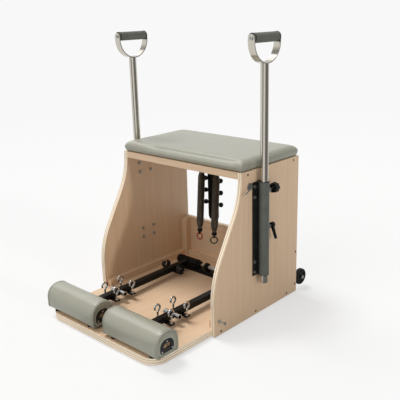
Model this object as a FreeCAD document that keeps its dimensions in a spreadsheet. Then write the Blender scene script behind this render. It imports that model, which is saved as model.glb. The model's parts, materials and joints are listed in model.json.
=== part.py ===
import FreeCAD, Part
import math
import operator
import os
from types import SimpleNamespace

import Sketcher
from FreeCAD import Placement, Rotation, Vector

# Pilates chair with two split pedals, two hanging springs and two sliding hand poles.
# Millimetres. +X is to the right as seen from the front, +Y is to the back, +Z is up.
# The origin is on the floor, under the middle of the chair's box.

# Driving sizes: alias, value, meaning. Heights are above the underside of the side panels and
# setbacks are from the back edge of the side panels, unless the meaning says otherwise.
SIZES = [
    ("foot_height", 5, "rubber feet under the base board"),
    ("foot_radius", 15, "rubber feet"),
    ("foot_inset", 45, "foot centres from the base board's edges"),
    ("carcass_width", 626, "outside to outside of the side panels"),
    ("panel_thickness", 18, "side panels"),
    ("panel_height", 575, "side panels"),
    ("panel_top_depth", 352, "side panels at the seat"),
    ("panel_bottom_depth", 511, "side panels at the floor"),
    ("flare_top", 488, "height where the flare leaves the upper front edge"),
    ("flare_bottom", 208, "height where the flare meets the lower front edge"),
    ("flare_top_radius", 300, "upper bend of the S-curve"),
    ("flare_bottom_radius", 320, "lower bend of the S-curve"),
    ("base_length", 795, "base board, front to back"),
    ("base_thickness", 25, "base board"),
    ("base_corner_radius", 60, "front corners of the base board"),
    ("seat_thickness", 25, "seat board"),
    ("back_height", 210, "top edge of the low back panel"),
    ("back_thickness", 18, "back panel"),
    ("cleat_width", 20, "cleats along the base"),
    ("cleat_height", 28, "cleats along the base"),
    ("cleat_inset", 12, "side cleats' front ends behind the panels' front edge"),
    ("post_size", 30, "upright cleats in the rear corners"),
    ("post_radius", 26, "rounded front top of the upright cleats"),
    ("post_drop", 3, "upright cleats' tops below the back panel's"),
    ("cushion_height", 42, "seat cushion at its edge seam and crown"),
    ("cushion_corner", 14, "seat cushion corners in plan"),
    ("cushion_draw", 3, "how far the cushion's foot is drawn in"),
    ("cushion_belly", 13, "height of the cushion's widest line"),
    ("cushion_taper", 0.75, "shoulder's foot, in from the widest line"),
    ("cushion_shoulder", 18, "how far the cushion's shoulder rounds in"),
    ("cushion_crown", 3, "rise of the crown over the shoulder"),
    ("cushion_crown_inset", 60, "edge of the crown's flat top, in from the widest line"),
    ("screw_radius", 2.2, "wood screw shanks"),
    ("screw_length", 45, "wood screws"),
    ("screw_head_radius", 4.5, "wood screw heads"),
    ("screw_head_height", 4, "wood screw heads"),
    ("screw_end", 34, "first and last screws from the ends of a board edge"),
    ("axle_setback", 156, "pedal pivot"),
    ("axle_height", 62, "pedal pivot"),
    ("axle_radius", 8, "pedal axle"),
    ("beam_length", 380, "rear beam across the base"),
    ("beam_depth", 50, "rear beam"),
    ("beam_height", 17, "rear beam"),
    ("beam_lead", 10, "beam's front edge in front of the axle"),
    ("stand_offset", 42, "bearing stands from the middle"),
    ("stand_thickness", 10, "bearing stands"),
    ("stand_radius", 17, "rounded tops of the bearing stands"),
    ("collar_width", 12, "thrust collars on the axle"),
    ("collar_radius", 15, "thrust collars on the axle"),
    ("cap_width", 6, "end caps on the axle"),
    ("cap_radius", 18, "end caps on the axle"),
    ("end_play", 0.4, "hub ends to collars and caps"),
    ("running_clearance", 0.05, "radial clearance of every turning or sliding fit"),
    ("pedal_offset", 150.5, "pedal arms from the middle"),
    ("hub_radius", 19, "pedal hub tubes"),
    ("hub_inner", 90, "inner end of a hub from the middle"),
    ("hub_outer", 200, "outer end of a hub from the middle"),
    ("hub_bush_wall", 3, "bushes in the hubs"),
    ("hub_bush_length", 25, "bushes in the hubs"),
    ("arm_width", 25, "pedal arm tubes"),
    ("arm_height", 22, "pedal arm tubes"),
    ("arm_insert", 34, "pedal arm's length inside the pad core"),
    ("pad_offset", 167, "foot pads' middles from the chair's middle"),
    ("pad_setback", 739, "middle of the foot pads"),
    ("pad_length", 272, "foot pads"),
    ("pad_depth", 102, "foot pads, front to back"),
    ("pad_height", 90, "foot pads"),
    ("pad_arch_radius", 46, "arched top of the foot pads"),
    ("pad_foot_radius", 13, "lower corners of the foot pads"),
    ("pad_lift", 7, "foot pads above the base board at rest"),
    ("core_depth", 62, "wooden pad cores"),
    ("core_height", 46, "wooden pad cores"),
    ("core_rise", 12.5, "wooden pad cores above the pads' undersides"),
    ("core_arch_radius", 26, "arched top of the pad cores"),
    ("core_foot_radius", 9, "lower corners of the pad cores"),
    ("end_plate_thickness", 4, "plates on the pad cores' ends"),
    ("end_plate_rim", 14, "width of the plates around their openings"),
    ("end_screw_radius", 3, "screw heads on the end plates"),
    ("end_screw_height", 1.6, "screw heads on the end plates"),
    ("bumper_radius", 11, "rubber bumpers under the pads"),
    ("bumper_spacing", 200, "rubber bumpers under a pad"),
    ("bumper_forward", 33, "rubber bumpers in front of a pad's middle"),
    ("rest_gap", 0.4, "bumpers above the base board at rest"),
    ("sleeve_setback", 562, "link-dowel sleeves"),
    ("sleeve_radius", 10, "link-dowel sleeves"),
    ("sleeve_bore_radius", 7.5, "link-dowel sleeves"),
    ("sleeve_length", 78, "link-dowel sleeves"),
    ("hook_plate_spacing", 81, "hook plates along an arm"),
    ("hook_plate_length", 86, "hook plates across an arm"),
    ("hook_plate_width", 20, "hook plates along an arm, each"),
    ("hook_plate_thickness", 5, "plates welded under an arm"),
    ("hook_offset", 35, "hooks from the arm's middle"),
    ("hook_wire_radius", 3.7, "spring hooks"),
    ("hook_bend_radius", 12.5, "spring hooks' eyes, to the wire's middle"),
    ("hook_height", 56.5, "spring hooks above their plate"),
    ("hook_neck_turn", 60, "spring hooks' neck, out of the shank's line into the eye, degrees"),
    ("hook_tip_turn", 205, "spring hooks' eye round to the tip, degrees"),
    ("hook_nut_radius", 7.5, "nuts on the hooks, to their corners"),
    ("hook_nut_height", 4, "nuts on the hooks"),
    ("clip_setback", 254, "rod clips"),
    ("clip_offset", 43, "rod clips from the arm's middle"),
    ("clip_radius", 18, "rod clips, outside"),
    ("clip_bore_radius", 13, "rod clips, inside"),
    ("clip_width", 18, "rod clips across an arm"),
    ("clip_mouth", 17, "opening of the rod clips"),
    ("clip_foot", 18, "foot of the rod clips along an arm"),
    ("clip_screw_radius", 4, "screw heads in the rod clips"),
    ("clip_screw_height", 2, "screw heads in the rod clips"),
    ("clip_plate_margin", 11, "clip plate beyond the clips' middles"),
    ("tree_setback", 152, "spring tree plate"),
    ("tree_thickness", 8, "spring tree plate"),
    ("tree_top_width", 54, "spring tree plate"),
    ("tree_bottom_width", 50, "spring tree plate"),
    ("tree_drop", 265, "spring tree plate below the seat board"),
    ("tree_bottom_radius", 20, "lower corners of the spring tree plate"),
    ("tree_flange_length", 120, "flange under the seat board"),
    ("tree_flange_depth", 64, "flange under the seat board"),
    ("tree_flange_thickness", 6, "flange under the seat board"),
    ("tree_screw_spacing", 90, "flange screws"),
    ("tree_screw_length", 18, "flange screws"),
    ("peg_first_drop", 90, "upper peg below the seat board"),
    ("peg_spacing", 51, "pegs on the spring tree"),
    ("peg_radius", 5, "pegs on the spring tree"),
    ("peg_span", 94, "pegs, over both heads"),
    ("peg_head_radius", 10, "heads of the pegs and of the top rod"),
    ("peg_head_length", 9, "heads of the pegs and of the top rod"),
    ("peg_head_rounding", 4, "edges of the peg heads"),
    ("rod_drop", 25, "top rod below the seat board"),
    ("rod_forward", 21, "top rod in front of the tree plate"),
    ("rod_radius", 6, "top rod"),
    ("rod_span", 124, "top rod, over both heads"),
    ("lug_spacing", 34, "lugs that carry the top rod"),
    ("lug_thickness", 8, "lugs that carry the top rod"),
    ("lug_radius", 11, "rounded ends of the lugs"),
    ("spring_offset", 40, "springs from the middle"),
    ("spring_lean", 4.8, "springs' lean over the pegs, degrees"),
    ("wire_radius", 2.1, "spring wire"),
    ("coil_radius", 13, "springs, to the wire's middle"),
    ("coil_end_radius", 7.5, "tapered spring ends, to the wire's middle"),
    ("coil_pitch", 4.95, "springs, turn to turn"),
    ("coil_bend", 5, "wire's bend into its caps"),
    ("eye_radius", 10, "eye on the top rod"),
    ("eye_width", 12, "eye on the top rod"),
    ("cap_neck_radius", 5, "necks of the spring caps"),
    ("cap_neck_length", 6, "necks of the spring caps"),
    ("cap_disc_radius", 12, "spring caps"),
    ("cap_disc_height", 5, "spring caps"),
    ("link_width", 11, "lug under the lower spring cap"),
    ("link_thickness", 6, "lug under the lower spring cap"),
    ("link_height", 13, "lug under the lower spring cap"),
    ("link_clearance", 0.6, "end ring in its lug"),
    ("ring_radius", 14, "end rings, to the wire's middle"),
    ("ring_wire_radius", 2.8, "end rings"),
    ("pole_setback", 97, "hand poles behind the panels' upper front edge"),
    ("pole_standoff", 24.5, "hand poles from the panels' outside"),
    ("pole_radius", 15, "hand poles"),
    ("pole_wall", 2, "hand poles"),
    ("pole_foot", 136, "lower ends of the hand poles"),
    ("housing_foot", 167, "lower ends of the housings"),
    ("housing_head", 21, "upper ends of the housings, below the seat board"),
    ("housing_radius", 19, "housings"),
    ("bush_wall", 1.5, "pole bushes in the housings"),
    ("bush_length", 25, "pole bushes in the housings"),
    ("bush_rim", 1.5, "rims of the pole bushes outside the housings"),
    ("bracket_width", 78, "brackets behind the housings"),
    ("bracket_thickness", 5, "brackets behind the housings"),
    ("saddle_width", 32, "bracket saddles that the housings sit in"),
    ("saddle_depth", 9, "bracket saddles off the bracket plates"),
    ("bolt_column_spacing", 62, "bracket bolts, front to back"),
    ("bolt_row_spacing", 40, "bracket bolts, in a group"),
    ("bolt_end", 15, "outermost bracket bolts from the brackets' ends"),
    ("bolt_radius", 4, "bracket bolts"),
    ("bolt_head_radius", 6.5, "bracket bolts"),
    ("bolt_head_height", 4, "bracket bolts"),
    ("bolt_socket_radius", 2.6, "hexagon sockets in the bolt heads, to their corners"),
    ("bolt_socket_depth", 2.2, "hexagon sockets in the bolt heads"),
    ("bolt_tail", 9, "bracket bolts inside the panels"),
    ("nut_radius", 7.5, "bracket nuts, to their corners"),
    ("nut_height", 6.5, "bracket nuts"),
    ("boss_radius", 9, "clamp bosses on the housings"),
    ("boss_reach", 32, "clamp bosses from the pole's middle"),
    ("knob_drop", 36, "star knobs below the housings' upper ends"),
    ("lever_rise", 184, "clamp levers above the housings' lower ends"),
    ("stud_radius", 4, "studs of the knobs and levers"),
    ("stud_gap", 0.5, "stud tips from the pole"),
    ("knob_reach", 52, "star knobs from the pole's middle"),
    ("knob_length", 21, "star knobs along their studs"),
    ("knob_core_radius", 16.5, "star knobs between their lobes"),
    ("knob_lobe_circle", 14.5, "lobes' middles from the star knobs' middle"),
    ("knob_lobe_radius", 4.8, "lobes of the star knobs"),
    ("lever_reach", 44, "clamp lever hubs from the pole's middle"),
    ("lever_hub_radius", 10.5, "clamp lever hubs"),
    ("lever_hub_length", 13, "clamp lever hubs"),
    ("lever_length", 62, "clamp levers from hub to tip"),
    ("lever_lean", 22, "clamp levers' lean off the housing, degrees"),
    ("lever_root_radius", 7, "clamp levers at the hub"),
    ("lever_tip_radius", 5.6, "clamp levers at the tip"),
    ("grip_height", 1033, "grips' middles at the photographed pole height"),
    ("grip_radius", 17, "grips"),
    ("grip_length", 142, "space for a grip between the strap's arms"),
    ("grip_gap", 0.3, "grip ends to the strap's arms"),
    ("strap_width", 28, "strap of a hand grip"),
    ("strap_thickness", 4, "strap of a hand grip"),
    ("strap_straight", 12, "strap's straight arms below the grip"),
    ("strap_ear_radius", 13.5, "rounded ends of the strap"),
    ("strap_weld", 2, "pole's seat in the strap"),
    ("grip_bolt_radius", 4, "grip bolts"),
    ("grip_bolt_length", 24, "grip bolts inside the strap"),
    ("grip_bolt_head_radius", 7, "grip bolts"),
    ("grip_bolt_head_height", 4, "grip bolts"),
    ("spool_inset", 23, "strap peg behind the panels' lower front edge"),
    ("spool_height", 57, "strap peg"),
    ("spool_length", 29, "strap peg"),
    ("spool_radius", 5.8, "rims of the strap peg"),
    ("spool_neck_radius", 3.2, "neck of the strap peg"),
    ("spool_rim", 3, "rims of the strap peg"),
    ("strap_hook_inset", 42, "strap hook behind the panels' upper front edge"),
    ("strap_hook_drop", 57, "strap hook below the panels' upper edge"),
    ("strap_hook_disc_radius", 13.5, "disc of the strap hook"),
    ("strap_hook_disc_height", 4, "disc of the strap hook"),
    ("strap_hook_wire_radius", 2, "wire of the strap hook"),
    ("strap_hook_bend_radius", 9, "strap hook, to the wire's middle"),
    ("strap_hook_reach", 14, "strap hook's standing part off the disc"),
    ("strap_hook_run", 36, "strap hook's straight run forwards and down"),
    ("strap_hook_slope", 24, "strap hook's run below the horizontal, degrees"),
    ("wheel_offset", 300, "transport wheels from the middle"),
    ("wheel_overhang", 46, "wheel axles behind the panels' back edge"),
    ("wheel_height", 45, "wheel axles"),
    ("wheel_radius", 34, "transport wheels"),
    ("wheel_width", 20, "transport wheels"),
    ("wheel_rounding", 6, "edges of the tyres"),
    ("wheel_hub_radius", 20, "hubs of the transport wheels"),
    ("wheel_hub_recess", 3, "hub faces below the tyre's sides"),
    ("wheel_boss_radius", 9, "hub bosses around the wheel bolts"),
    ("wheel_play", 0.5, "wheel hubs to their brackets and bolt heads"),
    ("wheel_bolt_radius", 5, "wheel bolts"),
    ("wheel_bolt_head_radius", 8, "wheel bolts"),
    ("wheel_bolt_head_height", 5, "wheel bolts"),
    ("wheel_plate_width", 46, "wheel bracket plates on the back panel"),
    ("wheel_plate_height", 66, "wheel bracket plates on the back panel"),
    ("wheel_plate_thickness", 5, "wheel bracket plates and ears"),
    ("wheel_ear_radius", 14, "rounded ends of the wheel brackets' ears"),
    ("wheel_screw_spacing", 32, "wheel bracket screws"),
    ("wheel_screw_length", 14, "wheel bracket screws"),
]

# Counts.
COIL_TURNS = 49
TAPER_TURNS = 5
PEG_COUNT = 3
KNOB_LOBES = 7
SHOULDER_STEPS = 4
FOOT_ROWS = 3
GAP_STEPS = 12

# Turns of the two end rings about their springs, in degrees.
RING_TURN = {"left": 0, "right": 43}
SIDES = {"left": -1, "right": 1}

ALONG_X = Rotation(Vector(0, 1, 0), 90)
ALONG_Y = Rotation(Vector(1, 0, 0), -90)
ALONG_Z = Rotation()
AGAINST_X = Rotation(Vector(0, 1, 0), -90)
AGAINST_Y = Rotation(Vector(1, 0, 0), 90)

doc = FreeCAD.newDocument("pilates_chair")
sheet = doc.addObject("Spreadsheet::Sheet", "sizes")
for row, (alias, value, meaning) in enumerate(SIZES, start=1):
    sheet.set(f"A{row}", alias)
    sheet.set(f"B{row}", str(value))
    sheet.set(f"C{row}", meaning)
    sheet.setAlias(f"B{row}", alias)
doc.recompute()


class Size:
    """A dimension that carries its spreadsheet formula beside its number."""

    def __init__(self, formula, number):
        self.formula = formula
        self.number = number

    def __float__(self):
        return float(self.number)

    def __add__(self, other):
        return combine(self, "+", other)

    def __radd__(self, other):
        return combine(other, "+", self)

    def __sub__(self, other):
        return combine(self, "-", other)

    def __rsub__(self, other):
        return combine(other, "-", self)

    def __mul__(self, other):
        return combine(self, "*", other)

    def __rmul__(self, other):
        return combine(other, "*", self)

    def __truediv__(self, other):
        return combine(self, "/", other)

    def __neg__(self):
        return combine(0, "-", self)


OPERATIONS = {"+": operator.add, "-": operator.sub, "*": operator.mul, "/": operator.truediv}


def as_size(amount):
    """The amount as a Size; a bare number is its own formula."""
    if isinstance(amount, Size):
        return amount
    return Size(repr(float(amount)), float(amount))


def combine(left, sign, right):
    """Two amounts joined by a sign, in the formula and in the number."""
    left = as_size(left)
    right = as_size(right)
    number = OPERATIONS[sign](left.number, right.number)
    return Size(f"({left.formula} {sign} {right.formula})", number)


s = SimpleNamespace(**{alias: Size(f"sizes.{alias}", float(sheet.get(alias))) for alias, _, _ in SIZES})
pieces = {}


def publish(name, item):
    """Names an object as one of the chair's sub-parts."""
    item.Label = name
    pieces[name] = item
    return item


def bind(item, **amounts):
    """Ties an object's properties to the sheet."""
    for name, amount in amounts.items():
        item.setExpression(name, as_size(amount).formula)
    return item


def place(item, x, y, z, turn=ALONG_Z):
    """Puts an object's own origin at a point, with a turn, tied to the sheet."""
    item.Placement = Placement(Vector(float(x), float(y), float(z)), turn)
    for axis, amount in zip("xyz", (x, y, z)):
        item.setExpression(f"Placement.Base.{axis}", as_size(amount).formula)
    return item


def block(name, x, y, z):
    """A box between two values on each axis."""
    item = doc.addObject("Part::Box", name)
    bind(item, Length=x[1] - x[0], Width=y[1] - y[0], Height=z[1] - z[0])
    return place(item, x[0], y[0], z[0])


def round_bar(name, radius, length, x, y, z, turn=ALONG_Z):
    """A cylinder from a point along its turned Z axis."""
    item = doc.addObject("Part::Cylinder", name)
    bind(item, Radius=radius, Height=length)
    return place(item, x, y, z, turn)


def hex_bar(name, corner_radius, length, x, y, z, turn=ALONG_Z):
    """A hexagonal prism from a point along its turned Z axis."""
    item = doc.addObject("Part::Prism", name)
    item.Polygon = 6
    bind(item, Circumradius=corner_radius, Height=length)
    return place(item, x, y, z, turn)


def fuse(name, items):
    """Objects joined into one solid."""
    item = doc.addObject("Part::MultiFuse", name)
    item.Shapes = items
    return item


def group(name, items):
    """Separate solids kept together as one object."""
    item = doc.addObject("Part::Compound", name)
    item.Links = items
    return item


def cut(name, base, tools):
    """A base with every tool taken away."""
    item = doc.addObject("Part::Cut", name)
    item.Base = base
    item.Tool = tools[0] if len(tools) == 1 else group(f"{name}_tools", tools)
    return item


def mirrored(name, source):
    """A copy on the other side of the chair's middle plane."""
    item = doc.addObject("Part::Mirroring", name)
    item.Source = source
    item.Base = Vector(0, 0, 0)
    item.Normal = Vector(1, 0, 0)
    return item


def formed(name, shape, x, y, z, turn=ALONG_Z):
    """A solid bent or wound from wire, placed by its own origin."""
    item = doc.addObject("Part::Feature", name)
    item.Shape = shape
    return place(item, x, y, z, turn)


def rounded_ends(corners):
    """For each corner: where its rounding starts and ends, its radius and the side it turns to."""
    points = [Vector(float(x), float(y), 0) for x, y, _ in corners]
    result = []
    for index, (_, _, radius) in enumerate(corners):
        here = points[index]
        inward = (here - points[index - 1]).normalize()
        outward = (points[(index + 1) % len(points)] - here).normalize()
        if radius is None:
            result.append((here, here, None, 0))
            continue
        turn = inward.getAngle(outward)
        reach = float(radius) * math.tan(turn / 2)
        side = 1 if inward.cross(outward).z > 0 else -1
        result.append((here - inward * reach, here + outward * reach, float(radius), side))
    return result


def outline(body, role, corners, height=None):
    """A closed sketch through corners (x, y, radius); a radius of None keeps a corner sharp."""
    sketch = body.newObject("Sketcher::SketchObject", f"{body.Name}_outline")
    plane = next(feature for feature in body.Origin.OriginFeatures if feature.Role == role)
    sketch.AttachmentSupport = [(plane, "")]
    sketch.MapMode = "FlatFace"
    if height is not None:
        sketch.setExpression("AttachmentOffset.Base.z", as_size(height).formula)

    ends = rounded_ends(corners)
    count = len(corners)
    lines = []
    for index in range(count):
        start = ends[index][1]
        end = ends[(index + 1) % count][0]
        lines.append(sketch.addGeometry(Part.LineSegment(start, end)))

    def measure(kind, geometry, position, amount):
        number = sketch.addConstraint(Sketcher.Constraint(kind, geometry, position, float(amount)))
        sketch.setExpression(f"Constraints[{number}]", as_size(amount).formula)

    for index, (x, y, radius) in enumerate(corners):
        before = lines[index - 1]
        after = lines[index]
        if radius is None:
            sketch.addConstraint(Sketcher.Constraint("Coincident", before, 2, after, 1))
            measure("DistanceX", after, 1, x)
            measure("DistanceY", after, 1, y)
            continue
        arc_start, arc_end, number, side = ends[index]
        corner = sketch.addGeometry(Part.Point(Vector(float(x), float(y), 0)), True)
        measure("DistanceX", corner, 1, x)
        measure("DistanceY", corner, 1, y)
        sketch.addConstraint(Sketcher.Constraint("PointOnObject", corner, 1, before))
        sketch.addConstraint(Sketcher.Constraint("PointOnObject", corner, 1, after))
        inward = (Vector(float(x), float(y), 0) - arc_start).normalize()
        centre = arc_start + Vector(-inward.y, inward.x, 0) * number * side
        first, last = (arc_start, arc_end) if side > 0 else (arc_end, arc_start)
        from_angle = math.atan2(first.y - centre.y, first.x - centre.x)
        to_angle = math.atan2(last.y - centre.y, last.x - centre.x)
        circle = Part.Circle(centre, Vector(0, 0, 1), number)
        arc = sketch.addGeometry(Part.ArcOfCircle(circle, from_angle, to_angle))
        entry, leaving = (1, 2) if side > 0 else (2, 1)
        sketch.addConstraint(Sketcher.Constraint("Tangent", before, 2, arc, entry))
        sketch.addConstraint(Sketcher.Constraint("Tangent", arc, leaving, after, 1))
        bound = sketch.addConstraint(Sketcher.Constraint("Radius", arc, number))
        sketch.setExpression(f"Constraints[{bound}]", as_size(radius).formula)
    return sketch


def slab(name, role, corners, thickness, x=0, y=0, z=0):
    """A sketched outline padded to a thickness: along +X on YZ, along -Y on XZ, along +Z on XY."""
    body = doc.addObject("PartDesign::Body", name)
    sketch = outline(body, role, corners)
    pad = body.newObject("PartDesign::Pad", f"{name}_pad")
    pad.Profile = sketch
    bind(pad, Length=thickness)
    return place(body, x, y, z)


def turned(name, corners, x, y, z, turn=ALONG_Z):
    """A profile (along, radius, rounding) turned about its own X axis."""
    body = doc.addObject("PartDesign::Body", name)
    sketch = outline(body, "XZ_Plane", corners)
    revolution = body.newObject("PartDesign::Revolution", f"{name}_turn")
    revolution.Profile = sketch
    revolution.ReferenceAxis = (sketch, ["H_Axis"])
    revolution.Angle = 360
    return place(body, x, y, z, turn)


def arc_through(start, middle, end):
    """A circular arc edge through three points."""
    return Part.Arc(start, middle, end).toShape()


def straight(start, end):
    """A straight edge."""
    return Part.LineSegment(start, end).toShape()


def wire_solid(edges, radius):
    """A round wire along joined edges."""
    first = edges[0]
    start = first.valueAt(first.FirstParameter)
    heading = first.tangentAt(first.FirstParameter)
    section = Part.Wire(Part.makeCircle(radius, start, heading))
    shell = Part.BRepOffsetAPI.MakePipeShell(Part.Wire(edges))
    shell.add(section)
    shell.build()
    shell.makeSolid()
    return shell.shape()


# Places that several pieces share.
panel_foot = s.foot_height
y_back = (s.base_length - s.wheel_overhang - s.wheel_radius) / 2
y_front = y_back - s.base_length
x_outside = s.carcass_width / 2
x_inside = x_outside - s.panel_thickness
base_top = panel_foot + s.base_thickness
panel_top = panel_foot + s.panel_height
seat_under = panel_top - s.seat_thickness
y_seat_front = y_back - s.panel_top_depth
y_panel_front = y_back - s.panel_bottom_depth
y_back_inside = y_back - s.back_thickness
back_top = panel_foot + s.back_height
y_post_front = y_back_inside - s.post_size
y_axle = y_back - s.axle_setback
z_axle = panel_foot + s.axle_height
beam_top = base_top + s.beam_height
x_pole = x_outside + s.pole_standoff
y_pole = y_seat_front + s.pole_setback
housing_foot = panel_foot + s.housing_foot
housing_head = seat_under - s.housing_head
housing_length = housing_head - housing_foot
z_knob = housing_head - s.knob_drop
z_lever = housing_foot + s.lever_rise
housing_bore = s.pole_radius + s.running_clearance + s.bush_wall
y_tree = y_back - s.tree_setback
y_rod = y_tree - s.rod_forward
z_rod = seat_under - s.rod_drop
arm_under = z_axle - s.arm_height / 2
plate_under = arm_under - s.hook_plate_thickness
pad_under = base_top + s.pad_lift
y_pad = y_back - s.pad_setback
y_pad_back = y_pad + s.pad_depth / 2
core_under = pad_under + s.core_rise
y_arm_end = y_pad + s.core_depth / 2 - s.arm_insert
y_sleeve = y_back - s.sleeve_setback
y_clip = y_back - s.clip_setback
y_spool = y_panel_front + s.spool_inset
z_spool = panel_foot + s.spool_height
y_wheel = y_back + s.wheel_overhang
z_wheel = panel_foot + s.wheel_height
x_wheel_inside = s.wheel_offset - s.wheel_width / 2
x_wheel_outside = s.wheel_offset + s.wheel_width / 2


def wood_screw(name, x, y, z, turn, length):
    """A countersunk-style screw whose head is flush at a point, driven along its turned Z axis."""
    head = round_bar(f"{name}_head", s.screw_head_radius, s.screw_head_height, x, y, z, turn)
    shank = round_bar(f"{name}_shank", s.screw_radius, length, x, y, z, turn)
    return fuse(name, [head, shank])


def panel_screw_places():
    """Screws through a side panel: along the seat board, the base board and the back panel."""
    seat_line = panel_top - s.seat_thickness / 2
    base_line = panel_foot + s.base_thickness / 2
    back_line = y_back - s.back_thickness / 2
    y_first = y_panel_front + s.screw_end
    y_last = y_back - 2 * s.screw_end
    return [
        (y_seat_front + s.screw_end, seat_line),
        (y_back - s.screw_end, seat_line),
        (back_line, back_top - s.screw_end),
        (back_line, base_top + s.screw_end / 4),
        (y_first, base_line),
        ((y_first + y_last) / 2, base_line),
        (y_last, base_line),
    ]


def make_screws():
    """All wood screws: through the side panels, the tree flange and the wheel brackets."""
    right = []
    for index, (y, z) in enumerate(panel_screw_places()):
        right.append(wood_screw(f"panel_screw{index}", x_outside, y, z, AGAINST_X, s.screw_length))
    wheel_x = wheel_plate_middle()
    for index, sign in enumerate((-1, 1)):
        z = z_wheel + sign * s.wheel_screw_spacing / 2
        name = f"wheel_screw{index}"
        y = y_back + s.wheel_plate_thickness
        right.append(wood_screw(name, wheel_x, y, z, AGAINST_Y, s.wheel_screw_length))
    tree_x = s.tree_screw_spacing / 2
    for index, sign in enumerate((-1, 1)):
        y = y_tree + sign * s.tree_flange_depth / 4
        z = seat_under - s.tree_flange_thickness
        right.append(wood_screw(f"tree_screw{index}", tree_x, y, z, ALONG_Z, s.tree_screw_length))
    left = [mirrored(f"left_{item.Name}", item) for item in right]
    return group("wood_screw_set", right + left)


def wheel_plate_middle():
    """Middle of a wheel bracket's plate, beside its ear."""
    return x_wheel_inside - s.wheel_play - s.wheel_plate_width / 2


def bolt_places():
    """Bracket bolts: two columns, with two rows at each end of the brackets."""
    rows = []
    for end, inward in ((housing_foot, 1), (housing_head, -1)):
        first = end + inward * s.bolt_end
        rows += [first, first + inward * s.bolt_row_spacing]
    return [(y_pole + column * s.bolt_column_spacing / 2, z) for column in (-1, 1) for z in rows]


def make_bolts():
    """Button-headed bracket bolts and their nuts, on both sides."""
    head_face = x_outside + s.bracket_thickness
    head_size = (s.bolt_head_radius, s.bolt_head_height)
    socket_size = (s.bolt_socket_radius, s.bolt_socket_depth)
    length = s.bracket_thickness + s.panel_thickness + s.bolt_tail
    bolts = []
    nuts = []
    for index, (y, z) in enumerate(bolt_places()):
        head = round_bar(f"bolt{index}_head", *head_size, head_face, y, z, ALONG_X)
        shank = round_bar(f"bolt{index}_shank", s.bolt_radius, length, head_face, y, z, AGAINST_X)
        top = head_face + s.bolt_head_height
        socket = hex_bar(f"bolt{index}_socket", *socket_size, top, y, z, AGAINST_X)
        bolts.append(cut(f"bolt{index}", fuse(f"bolt{index}_blank", [head, shank]), [socket]))
        nut = hex_bar(f"nut{index}_blank", s.nut_radius, s.nut_height, x_inside, y, z, AGAINST_X)
        nuts.append(cut(f"nut{index}", nut, [shank]))
    left_bolts = [mirrored(f"left_{item.Name}", item) for item in bolts]
    left_nuts = [mirrored(f"left_{item.Name}", item) for item in nuts]
    return group("bolt_set", bolts + left_bolts), group("nut_set", nuts + left_nuts)


def spool_shank():
    """The strap peg's fixing in the right side panel."""
    length = s.panel_thickness / 2
    return round_bar("spool_shank", s.screw_radius, length, x_outside, y_spool, z_spool, AGAINST_X)


def make_carcass(screws, bolts, spool):
    """The plywood boards and cleats."""
    base_corners = [
        (-x_inside, y_front, s.base_corner_radius),
        (x_inside, y_front, s.base_corner_radius),
        (x_inside, y_back, None),
        (-x_inside, y_back, None),
    ]
    base = slab("base_blank", "XY_Plane", base_corners, s.base_thickness, 0, 0, panel_foot)
    publish("base_board", cut("base_cut", base, [screws]))

    flare_top = panel_foot + s.flare_top
    flare_bottom = panel_foot + s.flare_bottom
    panel_corners = [
        (y_back, panel_foot, None),
        (y_back, panel_top, None),
        (y_seat_front, panel_top, None),
        (y_seat_front, flare_top, s.flare_top_radius),
        (y_panel_front, flare_bottom, s.flare_bottom_radius),
        (y_panel_front, panel_foot, None),
    ]
    panel = slab("panel_blank", "YZ_Plane", panel_corners, s.panel_thickness, x_inside)
    left_panel = mirrored("left_panel_blank", panel)
    publish("right_side_panel", cut("right_panel_cut", panel, [screws, bolts, spool]))
    publish("left_side_panel", cut("left_panel_cut", left_panel, [screws, bolts]))

    seat = block("seat_blank", (-x_inside, x_inside), (y_seat_front, y_back), (seat_under, panel_top))
    publish("seat_board", cut("seat_cut", seat, [screws]))
    back = block("back_blank", (-x_inside, x_inside), (y_back_inside, y_back), (base_top, back_top))
    publish("back_panel", cut("back_cut", back, [screws]))

    cleat_top = base_top + s.cleat_height
    y_cleat_front = y_panel_front + s.cleat_inset
    x_cleat = x_inside - s.cleat_width
    cleat_z = (base_top, cleat_top)
    side_cleat = block("side_cleat", (x_cleat, x_inside), (y_cleat_front, y_post_front), cleat_z)
    post_top = back_top - s.post_drop
    post_corners = [
        (y_post_front, base_top, None),
        (y_back_inside, base_top, None),
        (y_back_inside, post_top, None),
        (y_post_front, post_top, s.post_radius),
    ]
    x_post = x_inside - s.post_size
    post = slab("rear_post", "YZ_Plane", post_corners, s.post_size, x_post)
    y_back_cleat = y_back_inside - s.cleat_width
    back_cleat = block("back_cleat", (-x_post, x_post), (y_back_cleat, y_back_inside), cleat_z)
    right_cleats = [cut("side_cleat_cut", side_cleat, [screws]), cut("rear_post_cut", post, [screws])]
    left_cleats = [mirrored(f"left_{item.Name}", item) for item in right_cleats]
    publish("cleats", group("cleat_set", right_cleats + left_cleats + [back_cleat]))


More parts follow.
